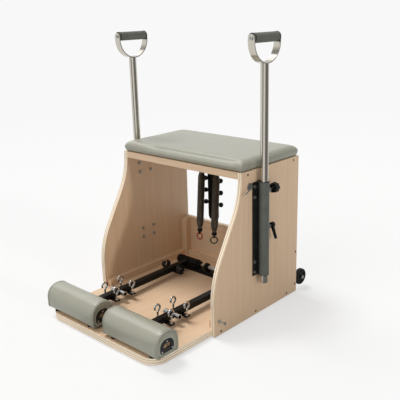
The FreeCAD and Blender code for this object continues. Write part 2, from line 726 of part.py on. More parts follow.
def make_cushion():
    """The seat cushion: drawn in at its foot, rounded at its shoulder and crowned on top."""
    y_middle = (y_seat_front + y_back) / 2
    depth = s.panel_top_depth

    def section(inset):
        half_x = x_outside - inset
        half_y = depth / 2 - inset
        corner = s.cushion_corner
        return [
            (-half_x, y_middle - half_y, corner),
            (half_x, y_middle - half_y, corner),
            (half_x, y_middle + half_y, corner),
            (-half_x, y_middle + half_y, corner),
        ]

    shoulder_top = s.cushion_height - s.cushion_crown
    levels = [(0, s.cushion_draw), (s.cushion_belly, 0)]
    for step in range(SHOULDER_STEPS + 1):
        angle = math.pi / 2 * step / SHOULDER_STEPS
        level = shoulder_top - s.cushion_shoulder * (1 - math.sin(angle))
        inset = s.cushion_taper + s.cushion_shoulder * (1 - math.cos(angle))
        levels.append((level, inset))
    levels.append((s.cushion_height, s.cushion_crown_inset))
    body = doc.addObject("PartDesign::Body", "cushion")
    sketches = [outline(body, "XY_Plane", section(inset), level) for level, inset in levels]
    loft = body.newObject("PartDesign::AdditiveLoft", "cushion_loft")
    loft.Profile = sketches[0]
    loft.Sections = sketches[1:]
    loft.Ruled = True
    publish("seat_cushion", place(body, 0, 0, panel_top))


def make_feet():
    """Rubber feet under the base board."""
    feet = []
    y_first = y_front + s.foot_inset
    y_step = (s.base_length - 2 * s.foot_inset) / (FOOT_ROWS - 1)
    for index in range(FOOT_ROWS):
        y = y_first + index * y_step
        for side in SIDES.values():
            x = side * (x_inside - s.foot_inset)
            feet.append(round_bar(f"foot_{index}_{side + 1}", s.foot_radius, s.foot_height, x, y, 0))
    publish("rubber_feet", group("foot_set", feet))


def make_pivot():
    """The rear beam with its bearing stands, the pedal axle and its collars."""
    half = s.beam_length / 2
    y_beam = y_axle - s.beam_lead
    beam = block("beam_blank", (-half, half), (y_beam, y_beam + s.beam_depth), (base_top, beam_top))
    solids = [beam]
    for side in SIDES.values():
        x = side * s.stand_offset - s.stand_thickness / 2
        y_span = (y_beam, y_axle + s.stand_radius)
        solids.append(block(f"stand_web{side + 1}", (x, x + s.stand_thickness), y_span, (beam_top, z_axle)))
        solids.append(
            round_bar(f"stand_top{side + 1}", s.stand_radius, s.stand_thickness, x, y_axle, z_axle, ALONG_X)
        )
    axle_half = s.hub_outer + s.end_play + s.cap_width
    axle = round_bar("axle_bar", s.axle_radius, 2 * axle_half, -axle_half, y_axle, z_axle, ALONG_X)
    publish("rear_beam", cut("beam_cut", fuse("beam_weld", solids), [axle]))
    publish("pedal_axle", axle)

    x_collar = s.hub_inner - s.end_play - s.collar_width
    collar = round_bar("collar_blank", s.collar_radius, s.collar_width, x_collar, y_axle, z_axle, ALONG_X)
    cap = round_bar("cap_blank", s.cap_radius, s.cap_width, s.hub_outer + s.end_play, y_axle, z_axle, ALONG_X)
    right = [cut("collar", collar, [axle]), cut("cap", cap, [axle])]
    left = [mirrored(f"left_{item.Name}", item) for item in right]
    publish("axle_collars", group("collar_set", right + left))


def headed_rod(name, radius, span, y, z):
    """A round rod across the chair with a rounded head on each end."""
    half = span / 2
    neck = half - s.peg_head_length
    corners = [
        (-half, 0, None),
        (half, 0, None),
        (half, s.peg_head_radius, s.peg_head_rounding),
        (neck, s.peg_head_radius, None),
        (neck, radius, None),
        (-neck, radius, None),
        (-neck, s.peg_head_radius, None),
        (-half, s.peg_head_radius, s.peg_head_rounding),
    ]
    return turned(name, corners, 0, y, z)


def make_tree(screws):
    """The spring tree under the seat, its pegs and the top rod that the springs hang from."""
    plate_top = seat_under - s.tree_flange_thickness
    plate_bottom = seat_under - s.tree_drop
    plate_corners = [
        (-s.tree_bottom_width / 2, plate_bottom, s.tree_bottom_radius),
        (s.tree_bottom_width / 2, plate_bottom, s.tree_bottom_radius),
        (s.tree_top_width / 2, plate_top, None),
        (-s.tree_top_width / 2, plate_top, None),
    ]
    y_plate_back = y_tree + s.tree_thickness / 2
    y_plate_front = y_tree - s.tree_thickness / 2
    plate = slab("tree_plate", "XZ_Plane", plate_corners, s.tree_thickness, 0, y_plate_back)
    flange_x = (-s.tree_flange_length / 2, s.tree_flange_length / 2)
    flange_y = (y_tree - s.tree_flange_depth / 2, y_tree + s.tree_flange_depth / 2)
    solids = [plate, block("tree_flange", flange_x, flange_y, (plate_top, seat_under))]
    lug_size = (s.lug_radius, s.lug_thickness)
    for side in SIDES.values():
        x = side * s.lug_spacing / 2 - s.lug_thickness / 2
        x_span = (x, x + s.lug_thickness)
        lug_foot = z_rod - s.lug_radius
        solids.append(block(f"lug_web{side + 1}", x_span, (y_rod, y_plate_front), (lug_foot, plate_top)))
        solids.append(round_bar(f"lug_end{side + 1}", *lug_size, x, y_rod, z_rod, ALONG_X))
    rods = [headed_rod("top_rod", s.rod_radius, s.rod_span, y_rod, z_rod)]
    for index in range(PEG_COUNT):
        z = seat_under - s.peg_first_drop - index * s.peg_spacing
        rods.append(headed_rod(f"peg{index}", s.peg_radius, s.peg_span, y_tree, z))
    publish("spring_tree", cut("tree_cut", fuse("tree_weld", solids), rods + [screws]))
    publish("tree_pegs", group("peg_set", rods))


def coil_points():
    """Half-turn points of a spring's wire, from its top, with the way it heads at each."""
    radius = float(s.coil_radius)
    end_radius = float(s.coil_end_radius)
    pitch = float(s.coil_pitch)
    turns = COIL_TURNS

    def spot(turn):
        taper = min(1.0, turn / TAPER_TURNS, (turns - turn) / TAPER_TURNS)
        ease = taper * taper * (3 - 2 * taper)
        here = end_radius + (radius - end_radius) * ease
        angle = 2 * math.pi * turn
        return Vector(here * math.cos(angle), here * math.sin(angle), -pitch * turn)

    points = []
    step = 1e-4
    for index in range(2 * turns + 1):
        turn = index / 2
        before = spot(max(0.0, turn - step))
        after = spot(min(float(turns), turn + step))
        points.append((spot(turn), (after - before).normalize()))
    # The ends leave level, so that the bends into the caps are plain quarter circles.
    for index in (0, -1):
        point, heading = points[index]
        points[index] = (point, Vector(heading.x, heading.y, 0).normalize())
    return points


def bent(start, heading, end):
    """An arc that leaves a point along a heading and ends at another point."""
    chord = end - start
    along = Vector(chord).normalize()
    across = (heading - along * heading.dot(along)).normalize()
    bulge = chord.Length / 2 * math.tan(heading.getAngle(chord) / 2)
    return arc_through(start, (start + end) / 2 + across * bulge, end)


def two_arcs(start, heading, end, leaving):
    """Two tangent arcs from one point and heading to another."""
    chord = end - start
    both = heading + leaving
    spread = 2 * (1 - heading.dot(leaving))
    reach = chord.dot(both)
    if spread < 1e-9:
        length = chord.dot(chord) / (2 * reach)
    else:
        length = (math.sqrt(reach * reach + spread * chord.dot(chord)) - reach) / spread
    middle = (start + end + (heading - leaving) * length) / 2
    first = bent(start, heading, middle)
    joint_heading = first.tangentAt(first.LastParameter)
    return [first, bent(middle, joint_heading, end)]


def least_self_gap(edges, wire_radius):
    """Smallest gap between turns of a wire, measured on points along it."""
    spots = []
    travelled = 0.0
    for edge in edges:
        for index in range(GAP_STEPS):
            share = index / GAP_STEPS
            at = edge.FirstParameter + share * (edge.LastParameter - edge.FirstParameter)
            spots.append((travelled + share * edge.Length, edge.valueAt(at)))
        travelled += edge.Length
    apart = 6 * wire_radius
    near = 4 * wire_radius
    past = 40 * wire_radius
    least = float("inf")
    for index, (length, point) in enumerate(spots):
        for other_length, other in spots[index + 1:]:
            if other_length - length < apart:
                continue
            if abs(other.z - point.z) > near and other_length - length > past:
                break
            least = min(least, (other - point).Length)
    return least - 2 * wire_radius


def coil_solid():
    """One spring's wire: a straight end, a bend, the turns, a bend and a straight end."""
    wire = float(s.wire_radius)
    bend = float(s.coil_bend)
    points = coil_points()
    down = Vector(0, 0, -1)
    half = math.sqrt(0.5)

    first, heading = points[0]
    bend_start = first - heading * bend - down * bend
    bend_middle = first - heading * bend * half - down * bend * (1 - half)
    edges = [straight(bend_start - down * 2 * wire, bend_start), arc_through(bend_start, bend_middle, first)]
    for (start, leaving), (end, arriving) in zip(points, points[1:]):
        edges += two_arcs(start, leaving, end, arriving)
    last, heading = points[-1]
    bend_end = last + heading * bend + down * bend
    bend_middle = last + heading * bend * half + down * bend * (1 - half)
    edges += [arc_through(last, bend_middle, bend_end), straight(bend_end, bend_end + down * 2 * wire)]
    print("spring wire, least gap to itself:", round(least_self_gap(edges, wire), 3), "mm")
    return wire_solid(edges, wire)


def spring_levels():
    """Distances down a spring from the top rod to its caps and its end ring."""
    top_cap = s.eye_radius + s.cap_neck_length
    coil_start = top_cap + s.cap_disc_height + 2 * s.wire_radius + s.coil_bend
    coil_end = coil_start + COIL_TURNS * s.coil_pitch
    low_cap = coil_end + s.coil_bend + 2 * s.wire_radius
    link = low_cap + s.cap_disc_height
    ring_hole = link + s.link_height - s.link_width / 2
    return SimpleNamespace(
        top_cap=top_cap, coil_start=coil_start, low_cap=low_cap, link=link, ring_hole=ring_hole
    )


def make_spring(side, coil):
    """A coil spring that hangs by its eye from the top rod, and its coloured end ring."""
    x = SIDES[side] * s.spring_offset
    level = spring_levels()
    lean = Rotation(Vector(1, 0, 0), -float(s.spring_lean))
    ring_turn = Rotation(Vector(0, 0, 1), RING_TURN[side])
    hole_radius = s.ring_wire_radius + s.link_clearance

    def at_rod(name, items):
        whole = group(f"{side}_{name}_local", items)
        return place(whole, x, y_rod, z_rod, lean)

    eye_bore = s.rod_radius + s.running_clearance
    eye_half = s.eye_width / 2
    eye_ring = round_bar(f"{side}_eye_ring", s.eye_radius, s.eye_width, -eye_half, 0, 0, ALONG_X)
    eye_hole = round_bar(f"{side}_eye_hole", eye_bore, s.eye_width, -eye_half, 0, 0, ALONG_X)
    neck = round_bar(f"{side}_neck", s.cap_neck_radius, level.top_cap, 0, 0, -level.top_cap)
    disc_foot = -level.top_cap - s.cap_disc_height
    disc = round_bar(f"{side}_top_disc", s.cap_disc_radius, s.cap_disc_height, 0, 0, disc_foot)
    top = cut(f"{side}_top_cap", fuse(f"{side}_top_blank", [eye_ring, neck, disc]), [eye_hole])

    wire = formed(f"{side}_coil", coil, 0, 0, -level.coil_start)

    low_foot = -level.link
    low_disc = round_bar(f"{side}_low_disc", s.cap_disc_radius, s.cap_disc_height, 0, 0, low_foot)
    link_x = (-s.link_thickness / 2, s.link_thickness / 2)
    link_y = (-s.link_width / 2, s.link_width / 2)
    link = block(f"{side}_link", link_x, link_y, (-level.link - s.link_height, low_foot))
    hole_place = (link_x[0], 0, -level.ring_hole)
    hole = round_bar(f"{side}_link_hole", hole_radius, s.link_thickness, *hole_place, ALONG_X)
    low = cut(f"{side}_low_cap", fuse(f"{side}_low_blank", [low_disc, link]), [hole])
    turned_low = place(group(f"{side}_low_turned", [low]), 0, 0, 0, ring_turn)
    publish(f"{side}_spring", at_rod("spring", [top, wire, turned_low]))

    ring = doc.addObject("Part::Torus", f"{side}_ring")
    bind(ring, Radius1=s.ring_radius, Radius2=s.ring_wire_radius)
    place(ring, 0, 0, -level.ring_hole - s.ring_radius, ALONG_Y)
    turned_ring = place(group(f"{side}_ring_turned", [ring]), 0, 0, 0, ring_turn)
    publish(f"{side}_spring_ring", at_rod("ring", [turned_ring]))


def make_housings(bolts):
    """The pole housings with their clamp bosses, their brackets and the pole bushes."""
    tube = round_bar("housing_tube", s.housing_radius, housing_length, x_pole, y_pole, housing_foot)
    bore = round_bar("housing_bore", housing_bore, housing_length, x_pole, y_pole, housing_foot)
    bosses = []
    threads = []
    for name, z in (("knob", z_knob), ("lever", z_lever)):
        bosses.append(round_bar(f"{name}_boss", s.boss_radius, s.boss_reach, x_pole, y_pole, z, ALONG_Y))
        stud_bore = s.stud_radius + s.running_clearance
        threads.append(round_bar(f"{name}_thread", stud_bore, s.boss_reach, x_pole, y_pole, z, ALONG_Y))
    housing = cut("housing", fuse("housing_weld", [tube] + bosses), [bore] + threads)
    publish("pole_housings", group("housing_set", [housing, mirrored("left_housing", housing)]))

    half = s.bracket_width / 2
    plate_face = x_outside + s.bracket_thickness
    z_span = (housing_foot, housing_head)
    plate = block("bracket_plate", (x_outside, plate_face), (y_pole - half, y_pole + half), z_span)
    saddle_half = s.saddle_width / 2
    saddle_x = (plate_face, plate_face + s.saddle_depth)
    saddle = block("bracket_saddle", saddle_x, (y_pole - saddle_half, y_pole + saddle_half), z_span)
    bracket = cut("bracket", fuse("bracket_weld", [plate, saddle]), [tube, bolts])
    publish("housing_brackets", group("bracket_set", [bracket, mirrored("left_bracket", bracket)]))

    bush_bore = s.pole_radius + s.running_clearance
    bushes = []
    for name, z_bush, z_rim in (
        ("lower", housing_foot, housing_foot - s.bush_rim),
        ("upper", housing_head - s.bush_length, housing_head),
    ):
        sleeve = round_bar(f"{name}_bush_sleeve", housing_bore, s.bush_length, x_pole, y_pole, z_bush)
        rim_radius = s.housing_radius - s.bush_wall
        rim = round_bar(f"{name}_bush_rim", rim_radius, s.bush_rim, x_pole, y_pole, z_rim)
        z_low = housing_foot - s.bush_rim
        hole_length = housing_length + 2 * s.bush_rim
        hole = round_bar(f"{name}_bush_hole", bush_bore, hole_length, x_pole, y_pole, z_low)
        bushes.append(cut(f"{name}_bush", fuse(f"{name}_bush_blank", [sleeve, rim]), [hole]))
    left = [mirrored(f"left_{item.Name}", item) for item in bushes]
    publish("pole_bushes", group("bush_set", bushes + left))


def make_strap_anchors(shank):
    """The spool-shaped strap peg and the wire strap hook on the right side panel's outside."""
    corners = [
        (0, 0, None),
        (s.spool_length, 0, None),
        (s.spool_length, s.spool_radius, None),
        (s.spool_length - s.spool_rim, s.spool_radius, None),
        (s.spool_length - 2 * s.spool_rim, s.spool_neck_radius, None),
        (2 * s.spool_rim, s.spool_neck_radius, None),
        (s.spool_rim, s.spool_radius, None),
        (0, s.spool_radius, None),
    ]
    spool = fuse("spool", [turned("spool_body", corners, x_outside, y_spool, z_spool), shank])

    hook_place = (x_outside, y_seat_front + s.strap_hook_inset, panel_top - s.strap_hook_drop)
    disc_size = (s.strap_hook_disc_radius, s.strap_hook_disc_height)
    disc = round_bar("strap_hook_disc", *disc_size, *hook_place, ALONG_X)
    bend = float(s.strap_hook_bend_radius)
    slope = math.radians(float(s.strap_hook_slope))
    out = Vector(1, 0, 0)
    forward = Vector(0, -math.cos(slope), -math.sin(slope))
    half = math.sqrt(0.5)
    start = out * float(s.strap_hook_disc_height)
    stand = out * (float(s.strap_hook_reach) - bend)
    turn_end = stand + out * bend + forward * bend
    run_end = turn_end + forward * float(s.strap_hook_run)
    tip_middle = run_end + forward * bend * half + out * bend * (1 - half)
    edges = [
        straight(start, stand),
        arc_through(stand, stand + out * bend * half + forward * bend * (1 - half), turn_end),
        straight(turn_end, run_end),
        arc_through(run_end, tip_middle, run_end + (forward + out) * bend),
    ]
    wire_shape = wire_solid(edges, float(s.strap_hook_wire_radius))
    wire = formed("strap_hook_wire", wire_shape, *hook_place)
    publish("strap_anchors", group("anchor_set", [spool, fuse("strap_hook", [disc, wire])]))


def make_wheels(screws):
    """The transport wheels behind the back panel, with their brackets and bolts."""
    x_ear = x_wheel_inside - s.wheel_play
    ear_span = (x_ear - s.wheel_plate_thickness, x_ear)
    plate_half = s.wheel_plate_height / 2
    plate_y = (y_back, y_back + s.wheel_plate_thickness)
    plate_z = (z_wheel - plate_half + s.wheel_plate_thickness, z_wheel + plate_half)
    plate = block("wheel_plate", (x_ear - s.wheel_plate_width, x_ear), plate_y, plate_z)
    ear_z = (z_wheel - s.wheel_ear_radius, z_wheel + s.wheel_ear_radius)
    ear = block("wheel_ear", ear_span, (plate_y[1], y_wheel), ear_z)
    ear_end = round_bar(
        "wheel_ear_end", s.wheel_ear_radius, s.wheel_plate_thickness, ear_span[0], y_wheel, z_wheel, ALONG_X
    )
    head_x = x_wheel_outside + s.wheel_play
    nut_x = ear_span[0] - s.wheel_bolt_head_height
    shank = round_bar("wheel_shank", s.wheel_bolt_radius, head_x - nut_x, nut_x, y_wheel, z_wheel, ALONG_X)
    head_size = (s.wheel_bolt_head_radius, s.wheel_bolt_head_height)
    head = round_bar("wheel_head", *head_size, head_x, y_wheel, z_wheel, ALONG_X)
    nut = hex_bar("wheel_nut", *head_size, nut_x, y_wheel, z_wheel, ALONG_X)
    bolt = fuse("wheel_bolt", [shank, head, nut])
    bracket = cut("wheel_bracket", fuse("wheel_bracket_weld", [plate, ear, ear_end]), [shank, screws])
    publish("wheel_brackets", group("wheel_bracket_set", [bracket, mirrored("left_wheel_bracket", bracket)]))
    publish("wheel_bolts", group("wheel_bolt_set", [bolt, mirrored("left_wheel_bolt", bolt)]))

    hub_inner_face = s.wheel_hub_recess
    hub_outer_face = s.wheel_width - s.wheel_hub_recess
    bore = s.wheel_bolt_radius + s.running_clearance
    tyre_corners = [
        (0, s.wheel_hub_radius, None),
        (s.wheel_width, s.wheel_hub_radius, None),
        (s.wheel_width, s.wheel_radius, s.wheel_rounding),
        (0, s.wheel_radius, s.wheel_rounding),
    ]
    hub_corners = [
        (0, bore, None),
        (s.wheel_width, bore, None),
        (s.wheel_width, s.wheel_boss_radius, None),
        (hub_outer_face, s.wheel_boss_radius, None),
        (hub_outer_face, s.wheel_hub_radius, None),
        (hub_inner_face, s.wheel_hub_radius, None),
        (hub_inner_face, s.wheel_boss_radius, None),
        (0, s.wheel_boss_radius, None),
    ]
    tyre = turned("wheel_tyre_ring", tyre_corners, x_wheel_inside, y_wheel, z_wheel)
    hub = turned("wheel_hub_disc", hub_corners, x_wheel_inside, y_wheel, z_wheel)
    publish("right_wheel_tyre", tyre)
    publish("left_wheel_tyre", mirrored("left_tyre_ring", tyre))
    publish("right_wheel_hub", hub)
    publish("left_wheel_hub", mirrored("left_hub_disc", hub))


def publish_pair(name, item):
    """The right-hand piece and its copy on the left."""
    publish(f"right_{name}", item)
    publish(f"left_{name}", mirrored(f"left_{name}_copy", item))


def loaf(inset, depth, height, foot, foot_radius, arch_radius):
    """An arched section with a flat underside, drawn in by an inset, on the pad's middle."""
    half = depth / 2 - inset
    low = foot + inset
    high = foot + height - inset
    return [
        (y_pad - half, low, foot_radius),
        (y_pad + half, low, foot_radius),
        (y_pad + half, high, arch_radius - inset),
        (y_pad - half, high, arch_radius - inset),
    ]


def hook_shape():
    """A spring hook: a shank with two nuts, and a neck that leads into an open eye over it, tip to the front."""
    wire = float(s.hook_wire_radius)
    bend = float(s.hook_bend_radius)
    nut = float(s.hook_nut_height)
    foot = -float(s.hook_plate_thickness) - nut
    z_eye = float(s.hook_height) - wire - bend
    neck_turn = math.radians(float(s.hook_neck_turn))
    tip_turn = math.radians(float(s.hook_tip_turn))
    neck_bend = bend * math.cos(neck_turn) / (1 - math.cos(neck_turn))
    z_neck = z_eye - (bend + neck_bend) * math.sin(neck_turn)
    top = math.pi / 2

    def on_neck(angle):
        return Vector(0, neck_bend * (1 - math.cos(angle)), z_neck + neck_bend * math.sin(angle))

    def on_eye(angle):
        return Vector(0, bend * math.cos(angle), z_eye + bend * math.sin(angle))

    edges = [
        straight(Vector(0, 0, foot), Vector(0, 0, z_neck)),
        arc_through(on_neck(0), on_neck(neck_turn / 2), on_neck(neck_turn)),
        arc_through(on_eye(-neck_turn), on_eye((top - neck_turn) / 2), on_eye(top)),
        arc_through(on_eye(top), on_eye((top + tip_turn) / 2), on_eye(tip_turn)),
    ]
    hook = wire_solid(edges, wire)
    radius = float(s.hook_nut_radius)
    angles = [math.radians(60 * corner) for corner in range(7)]
    face = Part.Face(Part.makePolygon([Vector(math.cos(a), math.sin(a), 0) * radius for a in angles]))
    upper = face.extrude(Vector(0, 0, nut))
    lower = face.extrude(Vector(0, 0, -nut))
    lower.translate(Vector(0, 0, -float(s.hook_plate_thickness)))
    return hook.fuse([upper, lower])


def make_pedals():
    """The pedals: welded frame, hub bushes, hooks, dowel sleeve, rod clips and the padded foot bar."""
    x_arm = s.pedal_offset
    half_arm = s.arm_width / 2
    arm_z = (arm_under, arm_under + s.arm_height)
    arm = block("arm_tube", (x_arm - half_arm, x_arm + half_arm), (y_arm_end, y_axle), arm_z)
    hub_length = s.hub_outer - s.hub_inner
    hub = round_bar("hub_tube", s.hub_radius, hub_length, s.hub_inner, y_axle, z_axle, ALONG_X)
    hub_bore_radius = s.axle_radius + s.running_clearance + s.hub_bush_wall
    hub_bore = round_bar("hub_bore", hub_bore_radius, hub_length, s.hub_inner, y_axle, z_axle, ALONG_X)
    plate_z = (plate_under, arm_under)
    hole_size = (s.hook_wire_radius, s.hook_plate_thickness)
    plates = []
    hooks = []
    shanks = []
    for row, along in enumerate((-1, 1)):
        y = y_sleeve + along * s.hook_plate_spacing / 2
        half_length = s.hook_plate_length / 2
        half_width = s.hook_plate_width / 2
        x_span = (x_arm - half_length, x_arm + half_length)
        y_span = (y - half_width, y + half_width)
        plates.append(block(f"hook_plate{row}", x_span, y_span, plate_z))
        for column, across in enumerate((-1, 1)):
            x = x_arm + across * s.hook_offset
            hooks.append(formed(f"hook{row}{column}", hook_shape(), x, y, arm_under))
            shanks.append(round_bar(f"hook_hole{row}{column}", *hole_size, x, y, plate_under))
    clip_half = s.clip_offset + s.clip_plate_margin
    clip_plate_y = (y_clip - s.clip_foot / 2, y_clip + s.clip_foot / 2)
    clip_plate_x = (x_arm - clip_half, x_arm + clip_half)
    plates.append(block("clip_plate", clip_plate_x, clip_plate_y, plate_z))

    sleeve_end = (x_arm - s.sleeve_length / 2, y_sleeve, z_axle)
    sleeve_bar = round_bar("sleeve_bar", s.sleeve_radius, s.sleeve_length, *sleeve_end, ALONG_X)
    sleeve_bore = round_bar("sleeve_bore", s.sleeve_bore_radius, s.sleeve_length, *sleeve_end, ALONG_X)
    frame_weld = fuse("pedal_weld", [arm, hub] + plates)
    publish_pair("pedal_frame", cut("pedal_frame_cut", frame_weld, [hub_bore, sleeve_bar] + shanks))
    publish_pair("dowel_sleeve", cut("dowel_sleeve_tube", sleeve_bar, [sleeve_bore]))
    publish_pair("spring_hooks", group("hook_set", hooks))

    axle_hole_radius = s.axle_radius + s.running_clearance
    axle_hole = round_bar("axle_hole", axle_hole_radius, hub_length, s.hub_inner, y_axle, z_axle, ALONG_X)
    bush_size = (hub_bore_radius, s.hub_bush_length)
    bushes = []
    for index, x in enumerate((s.hub_inner, s.hub_outer - s.hub_bush_length)):
        bush = round_bar(f"hub_bush_blank{index}", *bush_size, x, y_axle, z_axle, ALONG_X)
        bushes.append(cut(f"hub_bush{index}", bush, [axle_hole]))
    publish_pair("hub_bushes", group("hub_bush_set", bushes))

    make_rod_clips(x_arm)
    make_foot_pads(arm)


def make_rod_clips(x_arm):
    """Open clips that hold the link dowel when it is not in use, each with a screw in its floor."""
    clips = []
    z_clip = arm_under + s.clip_radius
    for index, across in enumerate((-1, 1)):
        x = x_arm + across * s.clip_offset - s.clip_width / 2
        x_span = (x, x + s.clip_width)
        ring = round_bar(f"clip_ring{index}", s.clip_radius, s.clip_width, x, y_clip, z_clip, ALONG_X)
        foot_y = (y_clip - s.clip_foot / 2, y_clip + s.clip_foot / 2)
        foot = block(f"clip_foot{index}", x_span, foot_y, (arm_under, z_clip))
        bore = round_bar(f"clip_bore{index}", s.clip_bore_radius, s.clip_width, x, y_clip, z_clip, ALONG_X)
        mouth_y = (y_clip - s.clip_mouth / 2, y_clip + s.clip_mouth / 2)
        mouth = block(f"clip_mouth{index}", x_span, mouth_y, (z_clip, z_clip + s.clip_radius))
        clips.append(cut(f"clip{index}", fuse(f"clip_blank{index}", [ring, foot]), [bore, mouth]))
        middle = x + s.clip_width / 2
        z_head = z_clip - s.clip_bore_radius - s.clip_screw_height
        head_length = 2 * s.clip_screw_height
        head = round_bar(f"clip_head{index}", s.clip_screw_radius, head_length, middle, y_clip, z_head)
        clips.append(cut(f"clip_screw{index}", head, [clips[-1]]))
    publish_pair("rod_clips", group("clip_set", clips))


def make_foot_pads(arm):
    """The wooden core, padded cover, end plates, their screws and the bumpers of a foot pad."""
    x_end = s.pad_offset - s.pad_length / 2
    x_core = x_end + s.end_plate_thickness
    core_length = s.pad_length - 2 * s.end_plate_thickness
    core_section = loaf(0, s.core_depth, s.core_height, core_under, s.core_foot_radius, s.core_arch_radius)
    core_blank = slab("core_blank", "YZ_Plane", core_section, core_length, x_core)
    publish_pair("pad_core", cut("pad_core_cut", core_blank, [arm]))

    cover_section = loaf(0, s.pad_depth, s.pad_height, pad_under, s.pad_foot_radius, s.pad_arch_radius)
    cover = slab("cover_blank", "YZ_Plane", cover_section, s.pad_length, x_end)
    core_space = slab("core_space", "YZ_Plane", core_section, s.pad_length, x_end)
    publish_pair("pad_cover", cut("pad_cover_cut", cover, [core_space, arm]))

    plates = []
    screws = []
    opening_foot = s.core_foot_radius / 2
    opening_size = (s.core_depth, s.core_height, core_under, opening_foot, s.core_arch_radius)
    opening = loaf(s.end_plate_rim, *opening_size)
    rim_middle = s.end_plate_rim / 2
    screw_half = s.core_depth / 2 - rim_middle
    screw_low = core_under + rim_middle
    screw_top = core_under + s.core_height - rim_middle
    screw_places = [(y_pad, screw_top), (y_pad - screw_half, screw_low), (y_pad + screw_half, screw_low)]
    for index, (x, face, turn) in enumerate(
        ((x_end, x_end, AGAINST_X), (x_core + core_length, x_end + s.pad_length, ALONG_X))
    ):
        blank = slab(f"end_plate_blank{index}", "YZ_Plane", core_section, s.end_plate_thickness, x)
        hole = slab(f"end_plate_hole{index}", "YZ_Plane", opening, s.end_plate_thickness, x)
        plates.append(cut(f"end_plate{index}", blank, [hole]))
        for number, (y, z) in enumerate(screw_places):
            name = f"end_screw{index}{number}"
            screws.append(round_bar(name, s.end_screw_radius, s.end_screw_height, face, y, z, turn))
    publish_pair("pad_end_plates", group("end_plate_set", plates))
    publish_pair("pad_end_screws", group("end_screw_set", screws))

    bumpers = []
    bumper_height = s.pad_lift - s.rest_gap
    for index, across in enumerate((-1, 1)):
        x = s.pad_offset + across * s.bumper_spacing / 2
        z = pad_under - bumper_height
        y = y_pad - s.bumper_forward
        bumpers.append(round_bar(f"bumper{index}", s.bumper_radius, bumper_height, x, y, z))
    publish_pair("pad_bumpers", group("bumper_set", bumpers))


def make_handles():
    """The hand poles with their strap, grip and grip bolts."""
    z_grip = panel_foot + s.grip_height
    outer = s.grip_length / 2 + s.strap_thickness
    inner = s.grip_length / 2
    z_arc = z_grip - s.strap_straight
    strap_foot = z_arc - outer
    x_strap = x_pole - s.strap_width / 2

    def bow(radius):
        return round_bar(f"bow_{float(radius):.0f}", radius, s.strap_width, x_strap, y_pole, z_arc, ALONG_X)

    ear_top = z_grip + s.strap_ear_radius
    x_span = (x_strap, x_strap + s.strap_width)
    outer_arms = block("strap_arms", x_span, (y_pole - outer, y_pole + outer), (z_arc, ear_top))
    inner_space = block("strap_space", x_span, (y_pole - inner, y_pole + inner), (z_arc, ear_top))
    strap_blank = cut("strap_blank", fuse("strap_outer", [outer_arms, bow(outer)]), [bow(inner), inner_space])
    ear_corners = [
        (x_strap, strap_foot, None),
        (x_strap + s.strap_width, strap_foot, None),
        (x_strap + s.strap_width, ear_top, s.strap_ear_radius),
        (x_strap, ear_top, s.strap_ear_radius),
    ]
    ear_outline = slab("ear_outline", "XZ_Plane", ear_corners, 2 * outer, 0, y_pole + outer)
    strap = doc.addObject("Part::Common", "strap")
    strap.Base = strap_blank
    strap.Tool = ear_outline

    pole_foot = panel_foot + s.pole_foot
    pole_length = strap_foot + s.strap_weld - pole_foot
    pole = round_bar("pole_tube", s.pole_radius, pole_length, x_pole, y_pole, pole_foot)
    hollow_radius = s.pole_radius - s.pole_wall
    hollow_length = pole_length - s.strap_weld - s.pole_wall
    hollow = round_bar("pole_hollow", hollow_radius, hollow_length, x_pole, y_pole, pole_foot)

    head_size = (s.grip_bolt_head_radius, s.grip_bolt_head_height)
    socket_size = (s.bolt_socket_radius, s.bolt_socket_depth)
    bolts = []
    shanks = []
    for index, (side, turn, outward) in enumerate(((-1, ALONG_Y, AGAINST_Y), (1, AGAINST_Y, ALONG_Y))):
        y = y_pole + side * outer
        length = s.strap_thickness + s.grip_bolt_length
        shank = round_bar(f"grip_shank{index}", s.grip_bolt_radius, length, x_pole, y, z_grip, turn)
        head = round_bar(f"grip_head{index}", *head_size, x_pole, y, z_grip, outward)
        y_top = y + side * s.grip_bolt_head_height
        socket = hex_bar(f"grip_socket{index}", *socket_size, x_pole, y_top, z_grip, turn)
        bolts.append(cut(f"grip_bolt{index}", fuse(f"grip_bolt_blank{index}", [shank, head]), [socket]))
        shanks.append(shank)
    frame = cut("handle_frame", fuse("handle_weld", [strap, pole]), [hollow] + shanks)
    publish_pair("handle_frame", frame)
    y_grip = y_pole - inner + s.grip_gap
    grip_length = s.grip_length - 2 * s.grip_gap
    grip = round_bar("grip_bar", s.grip_radius, grip_length, x_pole, y_grip, z_grip, ALONG_Y)
    publish_pair("handle_grip", cut("handle_grip", grip, shanks))
    publish_pair("grip_bolts", group("grip_bolt_set", bolts))


def clamp_stud(name, reach, z):
    """The threaded stud of a clamp, from just off the pole to the knob or lever hub."""
    start = s.pole_radius + s.stud_gap
    return round_bar(name, s.stud_radius, reach - start, x_pole, y_pole + start, z, ALONG_Y)


